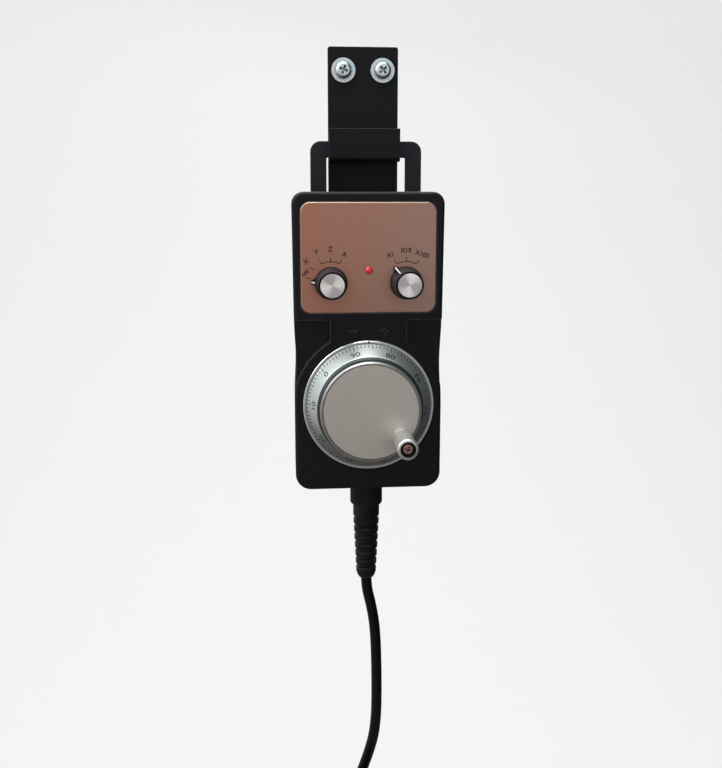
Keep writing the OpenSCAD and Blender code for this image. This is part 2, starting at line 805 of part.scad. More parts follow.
module code_disc() {
    hub = 4;
    color("#8b9aa0") facing(0, dial_z, wall_back) translate([0, 0, -encoder_shaft_deep + 2]) difference() {
        union() {
            cylinder(d = encoder_shaft_d + 8, h = hub);
            translate([0, 0, hub / 2]) cylinder(d = code_disc_d, h = 1);
        }
        translate([0, 0, -eps]) cylinder(d = encoder_shaft_d, h = hub + 2 * eps);
    }
}

module encoder_screw(place) {
    a = encoder_screw_angles[place];
    r = encoder_bolt_d / 2;
    color("#a9acb0") facing(r * cos(a), dial_z + r * sin(a), case_front - bezel_flange_t)
        pan_screw(small_screw_d, small_head_d, 1.8, bezel_flange_t + case_wall + encoder_front_t);
}

// ---- Handwheel ----

module handwheel() {
    top_r = wheel_top_d / 2;
    shoulder_r = wheel_shoulder_d / 2;
    crank = [crank_r * cos(crank_rest), crank_r * sin(crank_rest)];
    color("#c9cbcc") facing(0, dial_z, case_front) difference() {
        union() {
            rotate_extrude() polygon([
                [encoder_shaft_d / 2, hub_h], [hub_d / 2, hub_h], [hub_d / 2, web_h],
                [top_r - wheel_wall, web_h], [top_r - wheel_wall, wheel_shoulder_h],
                [skirt_r - wheel_wall, skirt_h], [skirt_r, skirt_h], [skirt_r, skirt_h + skirt_edge],
                [shoulder_r, wheel_shoulder_h], [top_r, wheel_shoulder_h + 1.4],
                [top_r, wheel_h - wheel_bevel], [top_r - wheel_bevel, wheel_h], [wheel_face_d / 2, wheel_h],
                [wheel_face_d / 2, seat_h], [encoder_shaft_d / 2, seat_h]
            ]);
            translate([crank[0], crank[1], web_h - 4]) cylinder(d = crank_screw_d + 4, h = 4 + eps);
        }
        translate([crank[0], crank[1], seat_h - crank_thread])
            cylinder(d = crank_screw_d - 1, h = crank_thread + 1);
        translate([0, 0, hub_h + 3]) rotate([0, 90, 0]) cylinder(d = small_screw_d, h = hub_d);
    }
}

module wheel_face() {
    crank = [crank_r * cos(crank_rest), crank_r * sin(crank_rest)];
    color("#cfccc7") facing(0, dial_z, case_front) translate([0, 0, seat_h]) difference() {
        cylinder(d = wheel_face_d, h = wheel_face_t);
        translate([crank[0], crank[1], -eps]) cylinder(d = crank_screw_d + 2, h = wheel_face_t + 2 * eps);
    }
}

module wheel_set_screw() {
    len = hub_d / 2 - encoder_shaft_d / 2;
    color("#55585c") facing(0, dial_z, case_front) translate([encoder_shaft_d / 2, 0, hub_h + 3])
        rotate([0, 90, 0]) difference() {
            cylinder(d = small_screw_d, h = len);
            translate([0, 0, len - 1.5]) cylinder(d = small_screw_d / 2, h = 1.5 + eps, $fn = 6);
        }
}

// ---- Crank ----

module crank_screw() {
    shank = crank_screw_d / 2;
    head = crank_head_d / 2;
    head_seat = recess_h + bush_floor + 0.15;
    head_top = head_seat + crank_head_h;
    color("#c0bdb8") facing(crank_x, crank_z, case_front) difference() {
        rotate_extrude() polygon([
            [0, seat_h - crank_thread], [shank - 0.5, seat_h - crank_thread], [shank - 0.5, seat_h],
            [shank + 1, seat_h], [shank + 1, crank_collar_h], [shank, crank_collar_h], [shank, head_seat],
            [head, head_seat], [head, head_top - 0.5], [head - 0.5, head_top], [0, head_top]
        ]);
        translate([0, 0, head_top]) cross_recess(crank_head_d * 0.6, 0.9);
    }
}

module crank_grip() {
    tip = grip_tip_d / 2;
    waist = grip_waist_d / 2;
    bore = crank_screw_d / 2 + run_clear;
    round_r = 1.4;
    color("#d3d3d1") facing(crank_x, crank_z, case_front) difference() {
        rotate_extrude() polygon(concat(
            [[bore, grip_h], [grip_base_d / 2, grip_h], [waist, grip_h + 1.4],
             [waist, grip_h + grip_len * 0.3], [(waist + tip) / 2, grip_h + grip_len * 0.65]],
            arc(tip - round_r, grip_tip_h - round_r, round_r, 0, 90, 6),
            [[bush_d / 2, grip_tip_h], [bush_d / 2, recess_h], [bore, recess_h]]
        ));
    }
}

module crank_bush() {
    color("#17171a") facing(crank_x, crank_z, case_front) translate([0, 0, recess_h]) difference() {
        cylinder(d = bush_d, h = 3.7);
        translate([0, 0, bush_floor]) cylinder(d = crank_head_d + 2 * turn_clear, h = 4);
        translate([0, 0, -eps]) cylinder(d = crank_screw_d + 2 * run_clear, h = 2);
    }
}

// ---- Inside ----

module control_board() {
    color("#2f6b45") slab(board_front, board_front + board_t) difference() {
        translate([0, board_top - board_h / 2]) square([board_w, board_h], center = true);
        for (p = post_places) translate(p) circle(d = small_screw_d);
    }
}

module terminal_block() {
    block_h = 10;
    block_d = 9;
    ways = 6;
    pitch = terminal_w / ways;
    color("#3f8f5c") translate([0, board_front + board_t, board_top - board_h + 2]) difference() {
        translate([-terminal_w / 2, 0, 0]) cube([terminal_w, block_d, block_h]);
        for (i = [0:ways - 1]) translate([(i + 0.5) * pitch - terminal_w / 2, block_d - 3, block_h * 0.4])
            rotate([-90, 0, 0]) cylinder(d = 2.6, h = 5);
    }
}

module board_screw(place) {
    color("#a9acb0") backing(post_places[place][0], post_places[place][1], board_front + board_t)
        pan_screw(small_screw_d, small_head_d - 0.4, 1.8, 8);
}

// ---- Strain relief ----

module gland_body() {
    color("#1d1d21") hanging(case_bot) difference() {
        union() {
            cylinder(d = gland_d, h = gland_h);
            translate([0, 0, -case_wall - gland_inside])
                cylinder(d = gland_thread_d, h = case_wall + gland_inside + eps);
        }
        translate([0, 0, -case_wall - gland_inside - 1])
            cylinder(d = cord_d, h = gland_h + case_wall + gland_inside + 2);
        translate([0, 0, gland_h - boot_socket]) cylinder(d = boot_d, h = boot_socket + 1);
    }
}

module gland_nut() {
    color("#1d1d21") hanging(case_bot + case_wall) difference() {
        translate([0, 0, -4.5]) cylinder(d = gland_thread_d + 6.5, h = 4.5, $fn = 6);
        translate([0, 0, -5]) cylinder(d = gland_thread_d, h = 6);
    }
}

// Radius of the boot at a depth below its top
function boot_r(h) = let (start = boot_plain - groove_w, share = max(0, (h - start) / (last_groove - start)))
    (boot_d + (boot_end_d - boot_d) * share) / 2;

module strain_relief() {
    tip_h = last_groove + groove_w / 2;
    color("#1b1b1f") hanging(boot_top) rotate_extrude() polygon(concat(
        [[cord_d / 2, -boot_socket], [boot_d / 2, -boot_socket]],
        [for (i = [0:boot_grooves - 1], c = [0:3]) let (
            h = boot_plain + i * groove_pitch + [-0.5, -0.3, 0.3, 0.5][c] * groove_w
        ) [boot_r(h) - (c == 1 || c == 2 ? groove_deep : 0), h]],
        [[boot_end_d / 2 - 0.2, tip_h + boot_tip * 0.45], [boot_end_d / 2 - 1.6, tip_h + boot_tip - 0.6],
         [boot_end_d / 2 - 2.2, boot_len], [cord_d / 2, boot_len]]
    ));
}

module cord_core() {
    tail = case_wall + gland_inside + core_tail;
    color("#141416") hanging(case_bot + tail) cylinder(d = cord_d, h = tail + gland_h + boot_len);
}

// ---- Cord, folded hank and plug ----

module cord_lead() {
    color("#141416") swept_tube(lead_points, cord_d);
}

module hank_outline() {
    r = hank_end_r;
    far = hank_half_h - r;
    hold = tie_w / 2 + 1;
    polygon(concat(
        arc(0, far, r / cos(10), 180, 0, 9),
        [[r, hank_flare], [hank_waist, hold], [hank_waist, -hold], [r, -hank_flare]],
        arc(0, -far, r / cos(10), 0, -180, 9),
        [[-r, -hank_flare], [-hank_waist, -hold], [-hank_waist, hold], [-r, hank_flare]]
    ));
}

module cord_hank() {
    color("#18181b") slab(hank_front, hank_back) translate([hank_x, hank_z]) hank_outline();
}

module hank_tie() {
    deep = hank_back - hank_front;
    color("#101012") translate([hank_x, (hank_back + hank_front) / 2, hank_z - tie_w / 2])
        linear_extrude(tie_w) difference() {
            square([2 * (hank_waist + tie_t), deep + 2 * tie_t], center = true);
            square([2 * hank_waist, deep], center = true);
        }
}

module cord_end() {
    color("#141416") swept_tube(end_points, cord_d);
}

module plug_body() {
    clamp_r = plug_d / 2 - 2.4;
    color("#9fa2a6") translate([hank_x, plug_y, plug_top]) rotate([180, 0, 0]) difference() {
        rotate_extrude() polygon([
            [0, 0], [clamp_r - 0.6, 0], [clamp_r, 1], [clamp_r, 9], [plug_d / 2, 12],
            [plug_d / 2, plug_face], [0, plug_face]
        ]);
        for (i = [0:4]) rotate([0, 0, 72 * i])
            translate([plug_d / 4, 0, plug_face - 4]) cylinder(d = 1.6, h = 5);
    }
}

module plug_ring() {
    flutes = 18;
    color("#b7babd") translate([hank_x, plug_y, plug_top]) rotate([180, 0, 0]) difference() {
        translate([0, 0, plug_len - plug_ring_len]) cylinder(d = plug_ring_d, h = plug_ring_len);
        translate([0, 0, plug_len - plug_ring_len - 1]) cylinder(d = plug_d, h = plug_ring_len);
        translate([0, 0, plug_face]) cylinder(d = plug_socket_d, h = plug_socket_deep + 1);
        for (i = [0:flutes - 1]) rotate([0, 0, 360 * i / flutes])
            translate([plug_ring_d / 2 + 0.3, 0, plug_len - plug_ring_len + 2])
                cylinder(d = 1.6, h = plug_ring_len - 6);
    }
}

// ---- Pieces ----

holder_plate();
holder_hook();
holder_washer(-1);  // holder_washer_l
holder_washer(1);  // holder_washer_r
holder_screw(-1);  // holder_screw_l
holder_screw(1);  // holder_screw_r
hanger_loop();
loop_screw(-1);  // loop_screw_l
loop_screw(1);  // loop_screw_r
rear_cover();
case_gasket();
front_case();
case_screw(0);  // case_screw_tl
case_screw(1);  // case_screw_tr
case_screw(2);  // case_screw_bl
case_screw(3);  // case_screw_br
face_plate();
status_led();
selector_switch(-1);  // axis_switch
selector_nut(-1);  // axis_nut
selector_shaft(-1);  // axis_shaft
selector_knob(-1, axis_rest);  // axis_knob
selector_cap(-1);  // axis_cap
selector_set_screw(-1, axis_rest);  // axis_set_screw
selector_switch(1);  // multiplier_switch
selector_nut(1);  // multiplier_nut
selector_shaft(1);  // multiplier_shaft
selector_knob(1, multiplier_rest);  // multiplier_knob
selector_cap(1);  // multiplier_cap
selector_set_screw(1, multiplier_rest);  // multiplier_set_screw
index_bezel();
encoder_housing();
encoder_bearing();
encoder_shaft();
code_disc();
encoder_screw(0);  // encoder_screw_1
encoder_screw(1);  // encoder_screw_2
encoder_screw(2);  // encoder_screw_3
handwheel();
wheel_face();
wheel_set_screw();
crank_screw();
crank_grip();
crank_bush();
control_board();
terminal_block();
board_screw(0);  // board_screw_1
board_screw(1);  // board_screw_2
board_screw(2);  // board_screw_3
board_screw(3);  // board_screw_4
gland_body();
gland_nut();
strain_relief();
cord_core();
cord_lead();
cord_hank();
hank_tie();
cord_end();
plug_body();
plug_ring();
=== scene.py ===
"""Dressed model of a hand-held pendant controller that hangs by its loop on a wall holder.

Sizes in the classes are millimetres, and the bench turns them into metres.
X points right, Y into the wall and Z up. The origin lies midway between the
holder's two screws, on the wall.
"""

import json
import logging
import math
from dataclasses import dataclass, replace
from enum import Enum
from typing import Callable, Sequence

import bmesh
import bpy
from mathutils import Matrix, Vector

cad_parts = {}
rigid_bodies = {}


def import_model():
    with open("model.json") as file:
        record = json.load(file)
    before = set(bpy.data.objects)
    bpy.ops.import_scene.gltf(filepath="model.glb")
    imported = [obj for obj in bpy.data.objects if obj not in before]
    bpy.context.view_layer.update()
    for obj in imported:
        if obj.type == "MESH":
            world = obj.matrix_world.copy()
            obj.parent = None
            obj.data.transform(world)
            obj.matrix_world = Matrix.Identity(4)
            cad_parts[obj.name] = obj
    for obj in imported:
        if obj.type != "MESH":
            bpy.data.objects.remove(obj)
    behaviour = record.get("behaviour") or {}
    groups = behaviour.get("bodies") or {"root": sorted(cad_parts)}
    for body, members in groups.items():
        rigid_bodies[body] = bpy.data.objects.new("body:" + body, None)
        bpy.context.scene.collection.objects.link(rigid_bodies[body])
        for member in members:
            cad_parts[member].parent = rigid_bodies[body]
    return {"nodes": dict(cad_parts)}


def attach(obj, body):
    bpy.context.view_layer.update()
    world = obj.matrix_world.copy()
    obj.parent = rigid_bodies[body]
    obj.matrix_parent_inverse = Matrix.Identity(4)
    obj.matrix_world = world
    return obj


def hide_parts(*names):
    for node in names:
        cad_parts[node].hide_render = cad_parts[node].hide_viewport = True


for leftover in list(bpy.data.objects):
    bpy.data.objects.remove(leftover)

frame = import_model()

MM = 0.001
LOG = logging.getLogger("pendant")
Point = tuple[float, float, float]
Rings = Sequence[tuple[float, float]]
Test = Callable[[Vector], bool]
Socket = bpy.types.NodeSocket
Pair = tuple[Socket, Socket]


# ---- Bench: shapes ----


class Pick(Enum):
    """What a bench operation acts on."""

    CORNERS = "VERT"
    EDGES = "EDGE"
    FACES = "FACE"


class Way(Enum):
    """Where the axis of a turned piece points, with the turn that brings +Z there."""

    FRONT = ((0, -1, 0), (math.pi / 2, 0, 0))
    BACK = ((0, 1, 0), (-math.pi / 2, 0, 0))
    DOWN = ((0, 0, -1), (math.pi, 0, 0))

    @property
    def along(self) -> Vector:
        """Unit vector of the axis."""
        return Vector(self.value[0])


def metres(point: Point) -> Point:
    """A point in metres, from millimetres."""
    return tuple(c * MM for c in point)


def arc(centre: tuple[float, float], size: tuple[float, float],
        degrees: Sequence[float]) -> list[tuple[float, float]]:
    """Points round a centre at these angles, with a signed reach along each of the two axes."""
    return [(centre[0] + size[0] * math.cos(a), centre[1] + size[1] * math.sin(a))
            for a in (math.radians(d) for d in degrees)]


def facing(angle: float) -> Matrix:
    """The turn about Y that brings X to an angle in degrees, seen from the front."""
    return Matrix.Rotation(-math.radians(angle), 3, "Y")


def lay_down() -> None:
    """Leave edit mode and deselect every object, so an operator finds only what comes next."""
    if bpy.context.mode != "OBJECT":
        bpy.ops.object.mode_set(mode="OBJECT")
    bpy.ops.object.select_all(action="DESELECT")


class Work:
    """One piece on the bench. Its place is in its mesh from the start."""

    def __init__(self, name: str) -> None:
        """Take up the primitive that was just added.

        Args:
            name: The piece's name.
        """
        self.obj = bpy.context.object
        self.obj.name = self.obj.data.name = name
        bpy.ops.object.transform_apply(location=True, rotation=True, scale=True)
        self.open()

    @classmethod
    def block(cls, name: str, low: Point, high: Point) -> "Work":
        """Start from a squared block.

        Args:
            name: The piece's name.
            low: Lowest corner in millimetres.
            high: Highest corner in millimetres.

        Returns:
            The opened piece.
        """
        lay_down()
        a, b = Vector(low) * MM, Vector(high) * MM
        bpy.ops.mesh.primitive_cube_add(size=1, location=(a + b) / 2, scale=b - a)
        return cls(name)

    @classmethod
    def turned(cls, name: str, centre: Point, way: Way, rings: Rings, sides: int = 72,
               hollow: bool = False) -> "Work":
        """Draw a disc out ring by ring, as on a lathe.

        Args:
            name: The piece's name.
            centre: Point on the axis that heights are counted from, in millimetres.
            way: Where the axis points.
            rings: Radius and height of each ring, in millimetres.
            sides: Corners of each ring.
            hollow: True if the last ring meets the first, as on a washer.

        Returns:
            The opened piece.
        """
        lay_down()
        place = (Vector(centre) + way.along * rings[0][1]) * MM
        bpy.ops.mesh.primitive_circle_add(
            vertices=sides, radius=rings[0][0] * MM, location=place, rotation=way.value[1],
            fill_type="NOTHING" if hollow else "NGON")
        work = cls(name)
        bpy.ops.mesh.select_all(action="SELECT")
        for (r0, h0), (r1, h1) in zip(rings, rings[1:]):
            step = way.along * (h1 - h0) * MM
            bpy.ops.mesh.extrude_region_move(TRANSFORM_OT_translate={"value": step})
            place = place + step
            bpy.ops.transform.resize(value=(r1 / r0,) * 3, center_override=place)
        return work.merge()

    def open(self) -> "Work":
        """Go on with this piece in edit mode.

        Returns:
            The piece.
        """
        if bpy.context.object is not self.obj or bpy.context.mode != "EDIT_MESH":
            lay_down()
            self.obj.select_set(True)
            bpy.context.view_layer.objects.active = self.obj
            bpy.ops.object.mode_set(mode="EDIT")
        return self

    def merge(self) -> "Work":
        """Weld corners that coincide and point every face outwards.

        Returns:
            The piece.
        """
        self.open()
        bpy.ops.mesh.select_all(action="SELECT")
        bpy.ops.mesh.remove_doubles(threshold=1e-6)
        bpy.ops.mesh.normals_make_consistent(inside=False)
        return self

    def pick(self, kind: Pick, test: Test) -> "Work":
        """Select what lies wholly where the test says.

        Args:
            kind: Corners, edges or faces.
            test: Takes a corner in millimetres and says whether it counts.

        Returns:
            The piece.
        """
        self.open()
        bpy.ops.mesh.select_mode(type=kind.value)
        bpy.ops.mesh.select_all(action="DESELECT")
        mesh = bmesh.from_edit_mesh(self.obj.data)
        found = {v.index for v in mesh.verts if test(v.co / MM)}
        items = {Pick.CORNERS: mesh.verts, Pick.EDGES: mesh.edges, Pick.FACES: mesh.faces}[kind]
        for item in items:
            corners = [item] if kind is Pick.CORNERS else item.verts
            item.select_set(all(v.index in found for v in corners))
        bmesh.update_edit_mesh(self.obj.data)
        return self

    def bevel(self, width: float, segments: int = 4) -> "Work":
        """Round the selected edges to a radius in millimetres."""
        bpy.ops.mesh.bevel(offset=width * MM, segments=segments, affect="EDGES")
        return self

    def draw(self, x: float = 0, y: float = 0, z: float = 0) -> "Work":
        """Extrude the selection by a step in millimetres."""
        bpy.ops.mesh.extrude_region_move(TRANSFORM_OT_translate={"value": Vector((x, y, z)) * MM})
        return self

    def inset(self, thickness: float) -> "Work":
        """Inset the selected faces by a margin in millimetres."""
        bpy.ops.mesh.inset(thickness=thickness * MM)
        return self

    def swell(self, share: Point, centre: Point) -> "Work":
        """Scale the selection along each axis about a point in millimetres."""
        bpy.ops.transform.resize(value=share, center_override=Vector(centre) * MM)
        return self

    def slice(self, at: Point, normal: Point) -> "Work":
        """Cut new edges through the piece where a plane crosses it.

        Args:
            at: A point on the plane, in millimetres.
            normal: The plane's normal.

        Returns:
            The piece.
        """
        self.open()
        bpy.ops.mesh.select_all(action="SELECT")
        bpy.ops.mesh.bisect(plane_co=Vector(at) * MM, plane_no=normal)
        return self

    def mould(self, shape: Callable[[Vector], Vector]) -> "Work":
        """Move every corner to where the shape takes it.

        Args:
            shape: Takes a corner in millimetres and gives its new place.

        Returns:
            The piece.
        """
        self.open()
        mesh = bmesh.from_edit_mesh(self.obj.data)
        for v in mesh.verts:
            v.co = shape(v.co / MM) * MM
        bmesh.update_edit_mesh(self.obj.data)
        return self

    def repeat(self, count: int, angle: float, centre: Point) -> "Work":
        """Copy the whole mesh round an axis along Y.

        Args:
            count: Number of copies beyond the first.
            angle: Total turn in degrees, anticlockwise from the front.
            centre: Point on the axis, in millimetres.

        Returns:
            The piece.
        """
        self.open()
        bpy.ops.mesh.select_all(action="SELECT")
        bpy.ops.mesh.spin(steps=count, dupli=True, angle=math.radians(angle),
                          center=Vector(centre) * MM, axis=(0, 1, 0))
        return self.merge()

    def apply(self, kind: str, **settings: object) -> "Work":
        """Add a modifier and apply it.

        Args:
            kind: Type of the modifier.
            settings: Its settings.

        Returns:
            The piece.
        """
        self.open()
        bpy.ops.object.mode_set(mode="OBJECT")
        modifier = self.obj.modifiers.new(kind.title(), kind)
        for key, value in settings.items():
            setattr(modifier, key, value)
        bpy.ops.object.modifier_apply(modifier=modifier.name)
        return self.open()

    def soften(self, width: float, segments: int = 2, angle: float = 35) -> "Work":
        """Break every edge sharper than an angle in degrees."""
        return self.apply("BEVEL", width=width * MM, segments=segments, limit_method="ANGLE",
                          angle_limit=math.radians(angle), use_clamp_overlap=True)

    def cut(self, *tools: "Work", join: bool = False) -> "Work":
        """Take the tools' shapes out of the piece, or add them to it.

        Args:
            tools: Pieces that are used up.
            join: True to add them.

        Returns:
            The piece.
        """
        for tool in tools:
            self.apply("BOOLEAN", object=tool.obj, solver="EXACT",
                       operation="UNION" if join else "DIFFERENCE")
            bpy.data.objects.remove(tool.obj)
        return self

    def mirrored(self) -> "Work":
        """Copy the piece to the other side of the middle line.

        Returns:
            The opened copy.
        """
        lay_down()
        twin = self.obj.copy()
        twin.data = self.obj.data.copy()
        bpy.context.collection.objects.link(twin)
        twin.data.transform(Matrix.Scale(-1, 4, (1, 0, 0)))
        bpy.context.view_layer.objects.active = twin
        twin.select_set(True)
        return Work(twin.name).merge()

    def done(self, body: str, finish: "Finish", slot: str, *replaced: str,
             smooth: float = 32) -> bpy.types.Object:
        """Take the piece off the bench, dress it and let it ride.

        Args:
            body: CAD body that it moves with.
            finish: Its finish.
            slot: The record's material slot.
            replaced: CAD nodes that it stands for.
            smooth: Sharpest angle in degrees that is shaded smooth.

        Returns:
            The finished object.
        """
        self.merge()
        bpy.ops.object.mode_set(mode="OBJECT")
        bpy.ops.object.shade_smooth_by_angle(angle=math.radians(smooth))
        self.apply("WEIGHTED_NORMAL", mode="FACE_AREA", weight=90, keep_sharp=True)
        bpy.ops.object.mode_set(mode="OBJECT")
        return dress(self.obj, body, finish, slot, *replaced)


def dress(obj: bpy.types.Object, body: str, finish: "Finish", slot: str,
          *replaced: str) -> bpy.types.Object:
    """Give a piece its finish and its body.

    Args:
        obj: The piece.
        body: CAD body that it moves with.
        finish: Its finish.
        slot: The record's material slot; not used.
        replaced: CAD nodes that it stands for.

    Returns:
        The piece.
    """
    obj.data.materials.clear()
    obj.data.materials.append(finish.material())
    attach(obj, body)
    if replaced:
        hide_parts(*replaced)
    LOG.info("%s rides on %s as %s", obj.name, body, finish.name)
    return obj


def lettering(name: str, words: str, size: float, place: Matrix, weight: float = 0.06) -> Work:
    """Raise a short word as a thin mesh.

    Args:
        name: The piece's name.
        words: What it says.
        size: Height of the type in millimetres.
        place: Where its middle goes, with X along the line and Z out of the surface.
        weight: How much every stroke is thickened, in millimetres.

    Returns:
        The opened piece.
    """
    lay_down()
    bpy.ops.object.text_add()
    text = bpy.context.object
    text.data.body = words
    text.data.size = size * MM
    text.data.extrude, text.data.offset = 0.02 * MM, weight * MM
    text.data.align_x, text.data.align_y = "CENTER", "CENTER"
    text.data.resolution_u = 3
    bpy.ops.object.convert(target="MESH")
    text = bpy.context.object
    text.matrix_world = place
    return Work(name)


def cross_screw(name: str, centre: Point, way: Way, head: float, height: float, shank: float,
                length: float, turn: float = 0, cross: float = 1) -> Work:
    """A pan head screw with a cross recess.

    Args:
        name: The piece's name.
        centre: Point under its head, in millimetres.
        way: Where its head points.
        head: Diameter of the head.
        height: Height of the head.
        shank: Diameter of the shank.
        length: Length of the shank.
        turn: How far the recess is turned, in degrees.
        cross: Size of the recess against the usual one.

    Returns:
        The opened piece.
    """
    r, edge = head / 2, 0.38 * height
    dome = arc((r - height + edge, edge), (height - edge, height - edge), (0, 22, 45, 67, 84))
    work = Work.turned(name, centre, way,
                       [(shank / 2 - 0.4, -length), (shank / 2, -length + 0.5), (shank / 2, 0),
                        (r - 0.1, 0), (r, 0.1), *dome], 40)
    top = Vector(centre) + way.along * height
    reach, deep, half = r * 0.62 * cross, height * 0.72, r * 0.15 * cross
    arms = []
    for angle in (turn, turn + 90):
        arm = Work.block("arm", (-reach, -deep, -half), (reach, deep, half))
        arm.pick(Pick.CORNERS, lambda p: p.y * way.along.y < 0)
        arm.swell((0.42, 1, 0.6), (0, -way.along.y * deep, 0))
        spin = Matrix.Rotation(math.radians(angle), 3, "Y")
        arm.mould(lambda p, spin=spin: spin @ p + top)
        arms.append(arm)
    return work.cut(*arms)


# ---- Bench: finishes ----


def tint(code: str) -> tuple[float, float, float, float]:
    """Linear colour of a six digit code such as 2a2a2e."""
    parts = [int(code[i:i + 2], 16) / 255 for i in (0, 2, 4)]
    return (*((c / 12.92 if c <= 0.04045 else ((c + 0.055) / 1.055) ** 2.4) for c in parts), 1.0)


class Tree:
    """A node tree that is filled node by node."""

    def __init__(self, tree: bpy.types.NodeTree) -> None:
        """Empty the tree to start with."""
        self.tree = tree
        tree.nodes.clear()

    def add(self, kind: str, feeds: dict | None = None, **settings: object) -> bpy.types.Node:
        """Add a node, set or link its inputs and set its own settings.

        Args:
            kind: Node type without its ShaderNode prefix.
            feeds: Value or socket for each input, by name or number.
            settings: Attributes of the node.

        Returns:
            The node.
        """
        family = "NodeGroup" if kind in ("Input", "Output") else "ShaderNode"
        node = self.tree.nodes.new(family + kind)
        for key, value in settings.items():
            setattr(node, key, value)
        for key, value in (feeds or {}).items():
            if isinstance(value, Socket):
                self.tree.links.new(value, node.inputs[key])
            else:
                node.inputs[key].default_value = value
        return node

    def here(self) -> Socket:
        """Object coordinates."""
        return self.add("TexCoord").outputs["Object"]

    def normal(self) -> Socket:
        """The surface's own normal."""
        return self.add("NewGeometry").outputs["Normal"]

    def axes(self, vector: object) -> Sequence[Socket]:
        """X, Y and Z of a vector."""
        return self.add("SeparateXYZ", {0: vector}).outputs

    def vector(self, how: str, first: object, second: object) -> Socket:
        """Combine two vectors by a named operation."""
        return self.add("VectorMath", {0: first, 1: second}, operation=how).outputs[0]

    def noise(self, vector: object, scale: object, detail: float, **more: float) -> Socket:
        """Soft noise of a scale, with as much detail as asked."""
        feeds = {"Vector": vector, "Scale": scale, "Detail": detail, **more}
        return self.add("TexNoise", feeds).outputs[0]

    def bump(self, height: Socket, depth: object, strength: float) -> Socket:
        """The normal of a height."""
        feeds = {"Height": height, "Distance": depth, "Strength": strength}
        return self.add("Bump", feeds).outputs[0]

    def mix(self, share: object, first: object, second: object) -> Socket:
        """Blend two colours by a share."""
        return self.add("Mix", {0: share, 6: first, 7: second}, data_type="RGBA").outputs[2]

    def span(self, value: object, low: float, high: float, out_low: float = 0,
             out_high: float = 1) -> Socket:
        """Stretch a value from one range to another, clamped."""
        return self.add("MapRange", {0: value, 1: low, 2: high, 3: out_low, 4: out_high}).outputs[0]

    def sum(self, first: object, second: object, how: str = "MULTIPLY") -> Socket:
        """Combine two values by a named operation."""
        return self.add("Math", {0: first, 1: second}, operation=how).outputs[0]


